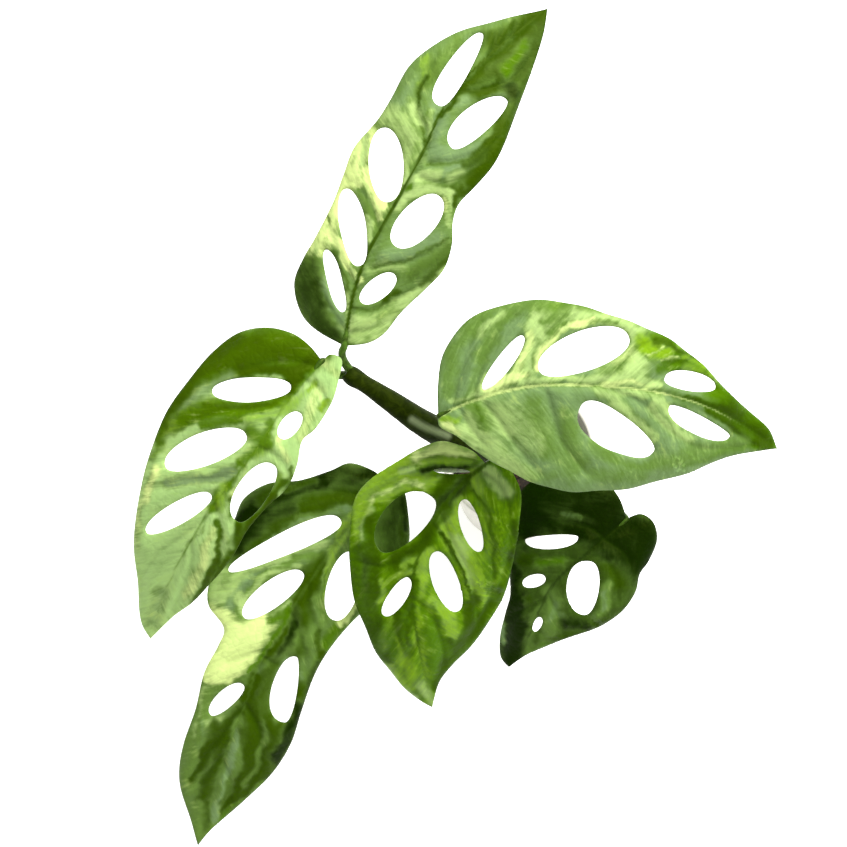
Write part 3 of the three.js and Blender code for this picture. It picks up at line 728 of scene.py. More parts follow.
            ["fresh", 4, 0.8, 426, 484, 440, 482],
            # painted shade on the left half, which slopes away from the light
            ["dark", 13, 1, 362, 552, 361, 580, 368, 610, 384, 642],
            ["deep", 8, 0.6, 371, 560, 372, 602],
            ["dark", 9, 0.9, 373, 522, 374, 540, 370, 552],
            # painted shade in the valley along the midrib
            ["dark", 11, 1, 474, 478, 452, 494, 438, 514, 428, 534, 414, 552, 396, 561],
            ["dark", 9, 0.9, 450, 480, 440, 496],
            ["dark", 7, 0.95, 377, 552, 375, 580, 370, 606],
            ["deep", 8, 0.75, 462, 483, 446, 502, 436, 520],
            ["fresh", 5, 0.6, 460, 498, 454, 518, 456, 534],
            ["fresh", 11, 1, 446, 520, 454, 538, 462, 552, 470, 568, 477, 592],
            ["light", 7, 0.6, 454, 538, 464, 556, 474, 580],
            ["olive", 4, 0.6, 486, 560, 489, 590],
            ["lime", 6, 0.4, 474, 562, 479, 586],
            ["mid", 7, 0.8, 478, 484, 484, 506, 488, 540, 484, 556],
            ["fresh", 6, 0.8, 474, 474, 479, 488],
            # painted light where the blade by its base curves away from the light
            ["light", 9, 1, 486, 468, 498, 480, 506, 492],
            ["cream", 5, 0.5, 494, 472, 504, 486],
            ["olive", 6, 0.5, 511, 524, 509, 560],
            ["dark", 2.5, 0.6, 474, 490, 488, 512, 494, 545, 493, 576],
            # painted light by the base again
            ["light", 7, 0.9, 490, 474, 502, 490],
            ["dark", 6, 0.6, 501, 588, 488, 612, 468, 641, 450, 666],
            ["dark", 5, 0.9, 516, 520, 515, 552, 509, 582],
            ["fresh", 4, 0.7, 426, 553, 414, 558, 404, 565],
            ["dark", 8, 1, 368, 612, 380, 642, 394, 666],
            ["dark", 6, 0.9, 404, 586, 398, 612, 386, 632],
            ["olive", 6, 0.7, 388, 626, 394, 650, 406, 674],
            ["mid", 5, 0.8, 392, 618, 382, 632, 384, 646],
            ["dark", 5, 0.7, 399, 616, 401, 640, 404, 654],
            ["fresh", 7, 0.8, 430, 552, 421, 566, 423, 582],
            ["fresh", 7, 0.9, 432, 600, 444, 614, 456, 634],
            ["lime", 3, 0.5, 417, 606, 415, 640],
            ["olive", 8, 0.9, 432, 626, 435, 644, 434, 664],
            ["lime", 7, 0.6, 404, 658, 414, 682],
            ["lime", 3, 0.5, 398, 640, 404, 660],
            ["lime", 4, 0.5, 420, 650, 426, 676],
            ["fresh", 4, 0.6, 446, 614, 452, 640],
            ["dark", 2.5, 0.9, 444, 534, 452, 550, 462, 572, 471, 598, 471, 626],
            ["dark", 6, 0.85, 474, 596, 468, 626, 452, 652],
            ["dark", 2.5, 0.5, 432, 602, 439, 628, 442, 650],
            ["dark", 6, 0.9, 448, 640, 443, 664, 436, 686],
            ["dark", 3, 0.8, 411, 564, 409, 582, 409, 600],
            ["fresh", 4, 0.6, 419, 572, 421, 592],
            ["dark", 3, 0.8, 408, 600, 409, 642],
            ["dark", 5, 0.8, 466, 602, 466, 622],
            ["dark", 5, 0.8, 488, 602, 476, 626, 463, 644],
            ["mid", 5, 0.7, 424, 676, 432, 700],
            # more painted shade on the left half
            ["deep", 12, 0.3, 366, 550, 367, 590, 375, 630, 386, 655],
            ["deep", 3, 0.5, 411, 578, 412, 606],
            ["dark", 4, 0.7, 450, 652, 444, 666, 439, 684],
            ["fresh", 3, 0.7, 382, 578, 380, 600],
            ["light", 7, 0.9, 384, 668, 398, 686, 414, 700],
            ["light", 7, 0.3, 418, 680, 430, 692],
            ["fresh", 5, 0.7, 394, 666, 404, 684],
            ["cream", 4, 0.5, 392, 684, 412, 701],
            ["light", 7, 0.6, 422, 686, 430, 698, 432, 706],
            ["dark", 5, 0.6, 447, 506, 440, 522, 433, 534],
            ["olive", 7, 0.4, 357, 556, 359, 585, 366, 612],
            ["dark", 4, 0.7, 413, 582, 411, 606],
            ["fresh", 4, 0.8, 402, 575, 414, 568],
            ["fresh", 4, 0.7, 361, 512, 357, 532],
            ["dark", 4, 0.4, 420, 608, 426, 630],
            ["olive", 5, 0.5, 436, 636, 446, 652],
            ["light", 5, 0.5, 396, 690, 410, 704],
        ],
    },
    "leaf_right": {
        "midrib": [
            [438, 416], [470, 402], [505, 391], [545, 385], [600, 386], [650, 391], [700, 404],
            [740, 424], [778, 449],
        ],
        "margins": [
            [
                [438, 416], [438, 385], [444, 352], [467, 321], [500, 306], [535, 300], [573, 304],
                [620, 318], [662, 335], [689, 353], [712, 374], [732, 396], [753, 414], [769, 430],
                [778, 449],
            ],
            [
                [438, 416], [440, 427], [457, 436], [474, 450], [500, 466], [530, 481], [560, 490],
                [600, 491], [640, 486], [680, 475], [713, 463], [743, 453], [778, 449],
            ],
        ],
        "holes": [
            [483, 389, 523, 336, 9, 7, 0],
            [539, 370, 629, 338, 17, 23, 0.05],
            [581, 405, 653, 451, 23.5, 14, -0.2],
            [665, 379, 716, 388, 7.5, 12, -0.1],
            [669, 406, 730, 437, 13.5, 5.5, -0.1],
        ],
        "lift": [18, 23, 16, -2],
        "slope": [[0.1, 0.12, 0], [-0.1, -0.25, -0.1]],
        "bow": [-2, -1.5],
        "petiole": {
            "leaves": 0.58,
            "route": [[500, 440, -24], [492, 427, -3], [466, 419, 11], [450, 417, 15.5]],
            "radius": [2, 1.8, 1.6, 1.4, 1.3],
        },
        "veins": [
            [[452, 408], [459, 380], [468, 350], [482, 322]],
            [[474, 400], [484, 360], [500, 332], [514, 316]],
            [[524, 388], [532, 356], [552, 328], [574, 312]],
            [[592, 386], [613, 376], [636, 350], [664, 338]],
            [[640, 390], [658, 376], [678, 362], [704, 362]],
            [[545, 386], [552, 412], [562, 442], [584, 470]],
            [[480, 398], [497, 418], [514, 442], [540, 474]],
            [[604, 387], [640, 402], [662, 424], [690, 444], [722, 448], [752, 444]],
            [[458, 406], [468, 424], [484, 444]],
            [[664, 394], [700, 410], [728, 428], [746, 440]],
        ],
        "base": {"grey": 0.7},
        "juicy": ["dark"],
        "lines": [0, 0.12],
        "rib": ["cream", 2, 0.6],
        "strokes": [
            ["mid", 9, 0.7, 448, 394, 452, 360, 466, 330],
            ["mid", 6, 0.7, 470, 318, 494, 306, 520, 302],
            ["mid", 8, 0.8, 482, 356, 494, 332, 516, 308],
            ["mid", 6, 0.5, 470, 398, 480, 364, 496, 340],
            ["light", 6, 0.7, 478, 334, 502, 314],
            ["mid", 9, 0.9, 530, 310, 554, 306],
            ["light", 4, 0.6, 530, 330, 536, 316],
            ["light", 12, 1, 540, 322, 534, 350, 522, 376],
            ["cream", 6, 0.6, 530, 336, 524, 356, 512, 376],
            ["mid", 3, 0.5, 538, 340, 534, 366],
            ["light", 10, 0.8, 552, 320, 580, 314, 612, 320, 642, 336],
            ["cream", 5, 0.8, 538, 366, 546, 344, 564, 328, 590, 320],
            ["mid", 6, 0.8, 546, 322, 566, 314],
            ["mid", 5, 0.8, 550, 333, 564, 324],
            ["cream", 4, 0.6, 562, 332, 584, 324],
            ["olive", 5, 0.5, 552, 307, 580, 306, 600, 310],
            ["mid", 3.5, 0.8, 590, 322, 616, 322],
            ["light", 12, 0.9, 640, 344, 634, 366, 602, 380],
            ["cream", 8, 0.5, 634, 350, 618, 364],
            ["mid", 5, 0.6, 600, 374, 628, 362],
            ["light", 5, 0.85, 524, 382, 560, 379, 610, 381, 652, 385],
            ["cream", 5, 0.8, 486, 389, 508, 382, 526, 374],
            ["cream", 4, 0.7, 606, 384, 636, 380, 660, 388],
            ["mid", 5, 0.6, 644, 350, 654, 362],
            ["light", 5, 0.8, 482, 396, 488, 376],
            ["light", 4, 0.6, 452, 402, 480, 391],
            ["lime", 12, 1, 646, 344, 676, 354, 704, 370],
            ["olive", 7, 0.9, 676, 354, 704, 370],
            ["olive", 5, 0.8, 650, 336, 672, 343],
            ["dark", 4, 0.8, 652, 342, 680, 350, 702, 364],
            ["dark", 4, 0.7, 664, 362, 684, 362],
            ["cream", 2.5, 0.45, 646, 354, 660, 348],
            ["cream", 2.5, 0.4, 662, 362, 678, 356],
            ["olive", 5, 0.8, 656, 370, 676, 366],
            ["olive", 16, 1, 718, 394, 742, 412, 766, 440],
            ["dark", 13, 0.65, 728, 406, 746, 420, 768, 440],
            ["dark", 6, 0.6, 734, 428, 758, 442],
            ["dark", 8, 0.5, 726, 412, 750, 430, 770, 446],
            ["dark", 4, 0.9, 674, 398, 696, 401, 716, 405, 742, 413],
            ["dark", 5, 0.8, 682, 402, 706, 408, 730, 424],
            ["mid", 6, 0.6, 592, 446, 620, 463, 650, 463],
            ["light", 6, 0.7, 650, 392, 664, 404, 676, 420],
            ["light", 5, 0.8, 642, 377, 660, 387],
            ["mid", 4, 0.6, 654, 393, 674, 396],
            ["light", 6, 0.7, 650, 404, 664, 424, 690, 440],
            ["light", 6, 0.8, 612, 402, 638, 420, 652, 440],
            ["mid", 10, 0.7, 566, 414, 570, 438, 580, 462],
            ["light", 5, 0.5, 534, 418, 542, 448],
            ["mid", 7, 0.8, 472, 332, 484, 316],
            ["mid", 5, 0.6, 584, 420, 596, 440, 616, 458],
            ["light", 5, 0.6, 600, 393, 640, 394],
            ["light", 26, 0.5, 496, 416, 530, 430],
            ["light", 9, 0.5, 484, 436, 504, 456, 530, 474],
            ["mid", 10, 0.7, 654, 462, 700, 450, 742, 441],
            ["olive", 4, 0.4, 680, 466, 720, 453, 750, 447],
            ["mid", 7, 0.5, 590, 474, 640, 474],
            ["light", 7, 1, 446, 424, 462, 432],
            ["cream", 5, 0.9, 446, 423, 460, 431],
            ["lime", 3.5, 0.6, 443, 418, 456, 419],
            ["light", 7, 0.7, 470, 414, 476, 438],
            ["mid", 9, 1, 474, 406, 486, 424],
            ["dark", 3, 0.5, 476, 406, 482, 420],
            ["light", 8, 0.35, 480, 446, 500, 460],
            ["light", 6, 0.6, 504, 464, 524, 476],
            ["light", 6, 0.7, 462, 426, 474, 444],
            ["cream", 4, 0.6, 486, 389, 498, 385, 514, 374],
            ["mid", 11, 0.6, 532, 404, 548, 440, 570, 468],
            ["mid", 7, 0.5, 534, 306, 552, 314],
            ["mid", 7, 0.4, 526, 478, 552, 474],
            ["light", 7, 0.4, 498, 412, 510, 430],
            ["grey", 4, 0.6, 668, 398, 700, 408],
            ["lime", 4, 0.6, 684, 356, 702, 368],
        ],
    },
    "leaf_low_right": {
        "midrib": [
            [627, 519], [604, 539], [579, 560], [556, 581], [543, 602], [534, 625], [523, 648],
            [509, 667],
        ],
        "margins": [
            [
                [627, 519], [618, 496], [600, 478], [566, 472], [534, 480], [515, 502], [508, 535],
                [509, 565], [511, 592], [506, 612], [500, 636], [500, 656], [509, 667],
            ],
            [
                [627, 519], [641, 514], [653, 522], [657, 540], [649, 561], [640, 574], [636, 592],
                [623, 611], [604, 624], [578, 634], [551, 645], [527, 654], [509, 667],
            ],
        ],
        "holes": [
            [525, 540, 578, 537, 10.5, 3.5, 0],
            [523, 584, 545, 578, 6.5, 6.5, 0],
            [589, 561, 583, 615, 19.5, 13, -0.1],
            [534, 631, 541, 617, 4, 4, 0],
        ],
        "lift": [-28, -26, -34, -48],
        "slope": [[0, -0.3, -0.4], [-0.1, -0.15, 0]],
        "bow": [-1, -1.5],
        "petiole": {
            "leaves": 0.24,
            "route": [[550, 463, -88], [586, 482, -66], [612, 501, -45], [623, 514, -32]],
            "radius": [2.1, 1.9, 1.7, 1.5, 1.3],
        },
        "veins": [
            [[604, 539], [585, 526], [555, 522], [524, 524]],
            [[579, 560], [562, 556], [540, 560], [516, 566]],
            [[545, 598], [532, 606], [516, 612]],
            [[604, 540], [622, 552], [634, 574]],
            [[580, 560], [600, 556], [614, 574], [618, 600]],
            [[548, 594], [558, 612], [564, 634]],
            [[534, 626], [544, 634], [546, 644]],
        ],
        # This leaf lies in the shade of leaf_right and leaf_centre: its dark and deep base and deep strokes
        # are painted shade
        "base": {"dark": 0.55, "deep": 0.45},
        "lines": [0.2, 0.4],
        "rib": ["deep", 2, 0.5],
        "strokes": [
            ["deep", 18, 1, 534, 490, 528, 530],
            ["deep", 22, 0.8, 556, 494, 608, 508],
            ["deep", 15, 0.85, 586, 534, 618, 546, 638, 558],
            ["deep", 17, 1, 612, 526, 642, 534, 642, 566],
            ["deep", 8, 0.9, 570, 528, 600, 530],
            ["deep", 4, 0.9, 572, 510, 596, 516, 612, 522],
            ["deep", 9, 0.8, 544, 520, 556, 528],
            ["dark", 9, 0.7, 606, 568, 618, 584],
            ["deep", 8, 1, 514, 560, 512, 600],
            ["deep", 13, 1, 516, 600, 515, 630, 511, 662],
            ["grey", 2.5, 0.45, 564, 514, 580, 518],
            ["dark", 8, 0.7, 524, 560, 534, 558],
            ["olive", 7, 0.8, 540, 564, 562, 560],
            ["mid", 9, 0.8, 552, 592, 551, 612, 548, 632],
            ["grey", 4, 0.5, 554, 600, 552, 618],
            # painted highlight on the shaded leaf
            ["mid", 7, 0.85, 606, 586, 604, 602, 598, 614],
            ["grey", 4, 0.6, 604, 592, 602, 606],
            ["olive", 6, 0.6, 530, 652, 556, 643],
            ["dark", 8, 0.7, 556, 640, 578, 630, 606, 620],
            ["grey", 4, 0.5, 560, 614, 568, 622],
            ["deep", 6, 0.8, 566, 622, 588, 624],
            ["mid", 5, 0.6, 540, 606, 531, 630, 527, 650],
            ["dark", 4, 0.7, 528, 598, 524, 618],
            ["deep", 7, 0.8, 521, 606, 519, 640, 516, 660],
            # painted highlight
            ["grey", 4, 0.9, 501, 624, 505, 642],
            ["deep", 5, 0.5, 604, 558, 626, 552],
        ],
    },
}
leafLook = {
    "edgeStep": 1.9,  # between the points of a rim, in pixels of the drawing
    "innerStep": 2.1,  # between the points of a row inside the blade
    "rowStep": 0.87,  # between two rows, as a share of innerStep, for even triangles
    "rimGap": 0.6,  # from a rim to the points inside, at the least, as a share of innerStep
    "midribStep": 5,
    "veinStep": 1.5,
    "strokeStep": 3,
    "bowWidth": 20,  # how far out a half has risen or dropped by its bow, in millimetres
    "halfThickness": 0.36,
    "rimThickness": 0.1,
    "rimWidth": 1.1,  # how far in from the rim the blade is thinner
    "midribGroove": [0.55, 1.1],  # depth and half width
    "tipFade": 0.65,  # how much of the midrib's groove is gone at the tip
    "veinGroove": [0.32, 0.8],
    "veinEnd": 0.3,  # how much of a vein's groove is left at its end
    "quilting": [1.2, 2.8],  # rise between the veins, and how far from a vein it is reached
    "quiltingCurve": 1.5,
    "quiltingRim": [-1, 5],  # from the rim, where it is flat, to where it is full
    "faintVein": 1.5,  # how much further off a vein's faint end counts
    "midribPull": 1.2,  # how much further off the midrib counts, as a factor
    "ridgeBelow": [0.9, 1.1],  # the midrib under the blade
    "reliefBelow": 0.8,  # how much of the relief shows underneath
    "veinLean": math.radians(52),  # between a vein and the midrib
    "halvesApart": 9,  # how far apart the two halves' streaks are drawn from
    "waver": [0.5, 17],  # height and length of the margin's waves
    "waverAcross": [2.1, 1.3],  # their direction
    "waverReach": 7,  # how far in from the rim they are felt
    "ribTaper": 0.6,  # how much narrower the midrib is drawn at the tip
    "ribEnd": 0.7,  # from here on it is drawn fainter, as a share of its length
}
toneNames = ["deep", "dark", "grey", "light", "olive", "cream", "lime"]
toneAttributes = {"toneA": toneNames[:3], "toneB": toneNames[3:6], "toneC": ["lime", "midrib", "lateral"]}


def midribFinder(leaf):
    # where points of the drawing lie: their share of the way along the midrib, and their distance
    # from it in millimetres
    line = spacedPoints(leaf["midrib"], leafLook["midribStep"])
    steps = len(line) - 1
    extra = 12  # further steps behind the base and past the tip
    count = np.arange(1, extra + 1)[:, None]
    behind = line[0] + (line[0] - line[2]) / 2 * count[::-1]
    ahead = line[-1] + (line[-1] - line[-3]) / 2 * count
    points = np.vstack([behind, line, ahead])
    spans = np.diff(points, axis=0)

    def find(places):
        reach = places[:, None] - points[None, :-1]
        share = np.clip((reach * spans).sum(2) / (spans**2).sum(1), 0, 1)
        gap = np.linalg.norm(reach - share[..., None] * spans, axis=2)
        best = gap.argmin(1)
        row = np.arange(len(places))
        span, to = spans[best], reach[row, best]
        side = np.sign(span[:, 0] * to[:, 1] - span[:, 1] * to[:, 0])
        return (best + share[row, best] - extra) / steps, gap[row, best] * side * drawing["pixel"]

    return find


def bladeSurface(leaf, find):
    # a function from places in the drawing to points of the blade, their share of the way to the
    # tip, and their distance out from the midrib, which is above 0 on the half of the first margin
    middleOfMargin = np.array([leaf["margins"][0][len(leaf["margins"][0]) // 2]], float)
    firstSide = np.sign(find(middleOfMargin)[1][0])

    def surface(places):
        s, t = find(places)
        out = np.abs(t)
        isFirst = t * firstSide >= 0
        slope = np.where(isFirst, along(leaf["slope"][0], s), along(leaf["slope"][1], s))
        bow = np.where(isFirst, *leaf["bow"])
        lift = along(leaf["lift"], s) + slope * out + bow * (out / leafLook["bowWidth"]) ** 2
        return fromDrawing(places, lift), s, np.where(isFirst, out, -out)

    return surface


def holeEdge(hole, spacing):
    # an oval between two ends, with its own half width on each side
    x1, y1, x2, y2, oneSide, otherSide, skew = hole
    middle = np.array([x1 + x2, y1 + y2]) / 2
    axis = np.array([x2 - x1, y2 - y1]) / 2
    halfLength = np.linalg.norm(axis)
    across = np.array([-axis[1], axis[0]]) / halfLength
    count = max(12, round(math.pi * (halfLength + (oneSide + otherSide) / 2) / spacing))
    turn = np.arange(count) / count * 2 * math.pi
    sine = np.sin(turn)
    width = np.where(sine > 0, oneSide, otherSide) * np.sign(sine) * np.abs(sine) ** 0.9
    length = np.cos(turn) + skew * sine**2
    return middle + length[:, None] * axis + width[:, None] * across


def isInside(loop, places):
    # whether a line from each place crosses the loop an odd number of times
    odd = np.zeros(len(places), bool)
    x, y = places[:, 0], places[:, 1]
    for a, b in zip(loop, np.roll(loop, 1, axis=0)):
        if a[1] == b[1]:
            continue
        crosses = (a[1] > y) != (b[1] > y)
        odd ^= crosses & (x < (b[0] - a[0]) * (y - a[1]) / (b[1] - a[1]) + a[0])
    return odd


def nearest(places, targets):
    # distance to the nearest target, and which it is
    gap = np.linalg.norm(places[:, None] - targets[None], axis=2)
    best = gap.argmin(1)
    return gap[np.arange(len(places)), best], best


def wander(places, size, seed):
    # a smooth random shift, up to about 1 each way, in waves of the given size
    random = np.random.default_rng(seed)
    shift = np.zeros_like(places)
    for _ in range(7):  # waves
        direction = random.normal(size=2)
        wave = places @ direction / np.linalg.norm(direction) * 2 * math.pi / size
        wave = wave[:, None] * random.uniform(0.6, 1.5) + random.uniform(0, 2 * math.pi, 2)
        shift += np.sin(wave)
    return shift / 3


# tones that are mixed from others. Where nothing lies, the colour is mid
mixes = {"mid": {}, "fresh": {"light": 0.55, "lime": 0.6}}
juicyMixes = {
    "mid": {"olive": 0.55, "lime": 0.35},
    "light": {"light": 0.85, "lime": 0.15},
    "fresh": {"light": 0.5, "lime": 0.75},
    "dark": {"dark": 0.85, "olive": 1},
}
strokeDrift = [[2, 30, 1], [0.8, 10, 2]]  # how far edges stray, in waves of what size, and the seed


def strokeCover(places, width, strength, route, soft=0.15, end=1.5):
    # how much a soft brush stroke along the route covers each place
    line = spacedPoints(route, leafLook["strokeStep"])
    return strength * (1 - fade(nearest(places, line)[0] / width, soft, end))


def paintTones(leaf, places, s, out):
    # how much of each tone lies at each place, every stroke covering what is under it
    tones = {name: np.full(len(places), float(leaf["base"].get(name, 0))) for name in toneNames}
    leafMixes = {**mixes, **{tone: juicyMixes[tone] for tone in leaf.get("juicy", [])}}

    def lay(tone, cover):
        for other in toneNames:
            tones[other] *= 1 - cover
        for part, share in leafMixes.get(tone, {tone: 1}).items():
            tones[part] += share * cover

    places = places + sum(far * wander(places, size, seed) for far, size, seed in strokeDrift)
    for tone, width, strength, *route in leaf["strokes"]:
        lay(tone, strokeCover(places, width, strength, np.reshape(route, (-1, 2))))
    tone, width, strength = leaf["rib"]
    width = width * drawing["pixel"] * (1 - leafLook["ribTaper"] * np.clip(s, 0, 1))
    lay(tone, strength * (1 - fade(s, leafLook["ribEnd"], 1)) * (1 - fade(out / width, 0.5, 1.4)))
    return tones


def bladeMesh(name, leaf):
    # the blade as a closed mesh with its tones as attributes, and the function of its surface
    look = leafLook
    there, back = (spacedPoints(margin, look["edgeStep"]) for margin in leaf["margins"])
    outer = np.vstack([there, back[1:-1][::-1]])
    holes = [holeEdge(hole, look["edgeStep"]) for hole in leaf["holes"]]
    rims = np.vstack([outer, *holes])

    def isBlade(places):
        inHole = np.any([isInside(hole, places) for hole in holes], axis=0)
        return isInside(outer, places) & ~inHole

    # points of the blade: its rims and an even field
    low, high = outer.min(0), outer.max(0)
    step = look["innerStep"]
    rows = np.arange(low[1], high[1], step * look["rowStep"])
    field = [
        np.stack([np.arange(low[0] + (i % 2) * step / 2, high[0], step)] * 2, 1) * [1, 0] + [0, y]
        for i, y in enumerate(rows)
    ]
    inner = np.vstack(field)
    inner = inner[isBlade(inner)]
    inner = inner[nearest(inner, rims)[0] > step * look["rimGap"]]
    points = np.vstack([rims, inner])
    edges = []
    first = 0
    for loop in [outer, *holes]:
        edges += [(first + i, first + (i + 1) % len(loop)) for i in range(len(loop))]
        first += len(loop)
    flat = [Vector((x, -y)) for x, y in points]
    flatMade, _, triangles, *_ = delaunay_2d_cdt(flat, edges, [], 0, 1e-5)
    points = np.array([[p.x, -p.y] for p in flatMade])
    triangles = np.array([t for t in triangles if len(t) == 3])
    triangles = triangles[isBlade(points[triangles].mean(1))]

    # the surface, its normals, and how far each point is from the rims and the veins
    find = midribFinder(leaf)
    surface = bladeSurface(leaf, find)
    at, s, t = surface(points)
    right = surface(points + [1, 0])[0] - at
    up = surface(points - [0, 1])[0] - at
    normal = np.cross(right, up)
    normal /= np.linalg.norm(normal, axis=1)[:, None]
    out = np.abs(t)
    pixel = drawing["pixel"]
    fromRim = nearest(points, rims)[0] * pixel
    veinLines = [spacedPoints(vein, look["veinStep"]) for vein in leaf["veins"]]
    veinStrength = np.concatenate([np.linspace(1, look["veinEnd"], len(line)) for line in veinLines])
    fromVein, which = nearest(points, np.vstack(veinLines))
    fromVein = fromVein * pixel
    strength = veinStrength[which]
    tipward = 1 - look["tipFade"] * np.clip(s, 0, 1)

    # relief: grooves over the veins and quilting between them
    midrib = np.exp(-((out / look["midribGroove"][1]) ** 2)) * tipward
    lateral = np.exp(-((fromVein / look["veinGroove"][1]) ** 2)) * strength
    rise, reach = look["quilting"]
    toVein = np.minimum(fromVein + (1 - strength) * look["faintVein"], out * look["midribPull"])
    quilt = rise * (1 - np.exp(-((toVein / reach) ** look["quiltingCurve"])))
    quilt *= fade(fromRim, *look["quiltingRim"])
    height, length = look["waver"]
    wave = height * np.sin(points @ look["waverAcross"] / length) * (1 - fade(fromRim, 0, look["waverReach"]))
    relief = quilt + wave - look["midribGroove"][0] * midrib - look["veinGroove"][0] * lateral

    rimHalf = look["rimThickness"] / 2
    half = rimHalf + (look["halfThickness"] - rimHalf) * np.sqrt(fade(fromRim, -0.1, look["rimWidth"]))
    ridge = look["ridgeBelow"][0] * np.exp(-((out / look["ridgeBelow"][1]) ** 2)) * np.clip(1 - s, 0, 1)
    ridge *= fade(fromRim, 0, 1)
    top = at + normal * (half + relief)[:, None]
    bottom = at - normal * (half + ridge - look["reliefBelow"] * relief)[:, None]

    # both faces, and the walls along the rims
    n = len(points)
    sides = np.vstack([triangles[:, [0, 1]], triangles[:, [1, 2]], triangles[:, [2, 0]]])
    present = {(int(u), int(v)) for u, v in sides}
    openSides = [(u, v) for u, v in present if (v, u) not in present]
    faces = triangles.tolist() + (triangles[:, ::-1] + n).tolist()
    faces += [[v, u, u + n, v + n] for u, v in openSides]
    mesh = newMesh(name, np.vstack([top, bottom]), faces)

    # what the material reads: the tones, the way that the veins run, the underside and the hue
    tones = paintTones(leaf, points, s, out)
    tones["midrib"] = leaf["lines"][0] * midrib
    tones["lateral"] = leaf["lines"][1] * lateral
    lean = look["veinLean"]
    midribSteps = np.diff(spacedPoints(leaf["midrib"], look["midribStep"]), axis=0)
    alongMidrib = s * np.linalg.norm(midribSteps, axis=1).sum() * pixel
    side = np.sign(t) * look["halvesApart"]
    vectors = {name: np.stack([tones[tone] for tone in three], 1) for name, three in toneAttributes.items()}
    vectors["flow"] = np.stack([alongMidrib - out / math.tan(lean), out / math.sin(lean), side], 1)
    for attribute, values in vectors.items():
        layer = mesh.attributes.new(attribute, "FLOAT_VECTOR", "POINT")
        layer.data.foreach_set("vector", np.vstack([values, values]).astype(np.float32).ravel())
    hue = leaf.get("tint", 0) + leaf.get("paleTint", 0) * np.clip(tones["light"], 0, 1)
    addValues(mesh, "hue", 0.5 + np.concatenate([hue, hue]))
    addValues(mesh, "under", np.concatenate([np.zeros(n), np.ones(n)]))
    return mesh, surface


def leafMaterial():
    # living leaf: a waxy skin with a soft shine over juicy tissue that lets some light through
    material, tree = newMaterial("livingLeaf")
    # deep and dark are the leaf's own dark greens and also painted shade; light and cream its pale
    # variegation and also painted light
    colours = {
        "mid": "#5C7A33",
        "deep": "#0D2000",
        "dark": "#2D4600",
        "grey": "#6F8A59",
        "light": "#A3BE73",
        "olive": "#436900",
        "lime": "#749A14",
        "cream": "#C8DB88",
        "vein": "#1E3604",
        "under": "#86A86B",
    }
    sizes = {"streak": 1 / 0.55, "fleck": 5, "cell": 1.3, "net": 2.6}  # in millimetres
    place = addNode(tree, "ShaderNodeTexCoord").outputs["Object"]
    flow = attributeOf(tree, "flow", "Vector")
    under = attributeOf(tree, "under")
    tones = {}
    for attribute, names in toneAttributes.items():
        parts = addNode(tree, "ShaderNodeSeparateXYZ", {0: attributeOf(tree, attribute, "Vector")})
        tones.update(zip(names, parts.outputs))

    # streaks run along the veins, and flecks have no direction
    stretched = addNode(tree, "ShaderNodeMapping", {"Vector": flow, "Scale": (1, 0.24, 1)}).outputs[0]
    streak = sizes["streak"] / metre  # the flow is in millimetres
    streaks = noise(tree, stretched, streak, 3.5, Roughness=0.55, Distortion=0.6)["Fac"]
    flecks = noise(tree, place, sizes["fleck"], 3, Roughness=0.55, Distortion=0.4)["Fac"]
    breakUp = maths(tree, "ADD", streaks, flecks)

    # each tone is laid over the ones before it, with an edge that the streaks and flecks break up
    colour = linear(colours["mid"])
    for tone, (raggedness, low, high) in {
        "grey": (0.6, 0.0, 1.0),
        "light": (0.7, 0.0, 1.0),
        "olive": (0.6, 0.0, 1.0),
        "lime": (0.9, 0.0, 1.0),
        "cream": (0.9, 0.05, 0.95),
        "dark": (0.4, 0.0, 1.0),
        "deep": (0.4, 0.0, 1.0),
    }.items():
        ragged = maths(tree, "MULTIPLY_ADD", breakUp, raggedness, tones[tone])
        low, high = low + raggedness, high + raggedness
        share = spread(tree, ragged, low, high, interpolation_type="SMOOTHSTEP")
        colour = mixColours(tree, share, colour, linear(colours[tone]))

    # slow changes of brightness, the leaf's own hue, dark veins and a paler underside
    brightness = spread(tree, streaks, 0.3, 0.7, 0.9, 1.1)
    turned = {"Color": colour, "Hue": attributeOf(tree, "hue"), "Value": brightness}
    colour = addNode(tree, "ShaderNodeHueSaturation", turned).outputs[0]
    veins = maths(tree, "MAXIMUM", tones["midrib"], tones["lateral"])
    colour = mixColours(tree, veins, colour, linear(colours["vein"]))
    colour = mixColours(tree, maths(tree, "MULTIPLY", under, 0.6), colour, linear(colours["under"]))

    # the skin's fine cells, in a net of the finest veins
    cells, net = (
        addNode(tree, "ShaderNodeTexVoronoi", {"Vector": place, "Scale": 1 / (size * metre)}, feature=feature)
        for size, feature in [(sizes["cell"], "SMOOTH_F1"), (sizes["net"], "DISTANCE_TO_EDGE")]
    )
    netRise = spread(tree, net.outputs["Distance"], 0.0, 0.25)
    relief = bumps(tree, maths(tree, "MULTIPLY_ADD", cells.outputs["Distance"], 0.25, netRise), 0.12, 0.5)
    skin = addNode(
        tree,
        "ShaderNodeBsdfPrincipled",
        {
            "Base Color": colour,
            "Roughness": spread(tree, under, 0.0, 1.0, 0.45, 0.62),
            "Specular IOR Level": 0.08,
            "Specular Tint": linear("#E0FF60"),
            "Normal": relief,
        },
    )
    lit = addNode(tree, "ShaderNodeHueSaturation", {"Color": colour, "Saturation": 1.1, "Value": 1.2})
    through = addNode(tree, "ShaderNodeBsdfTranslucent", {"Color": lit.outputs[0], "Normal": relief})
    tissue = {0: 0.14, 1: skin.outputs[0], 2: through.outputs[0]}  # the first is the share let through
    finishMaterial(tree, addNode(tree, "ShaderNodeMixShader", tissue))
    return material


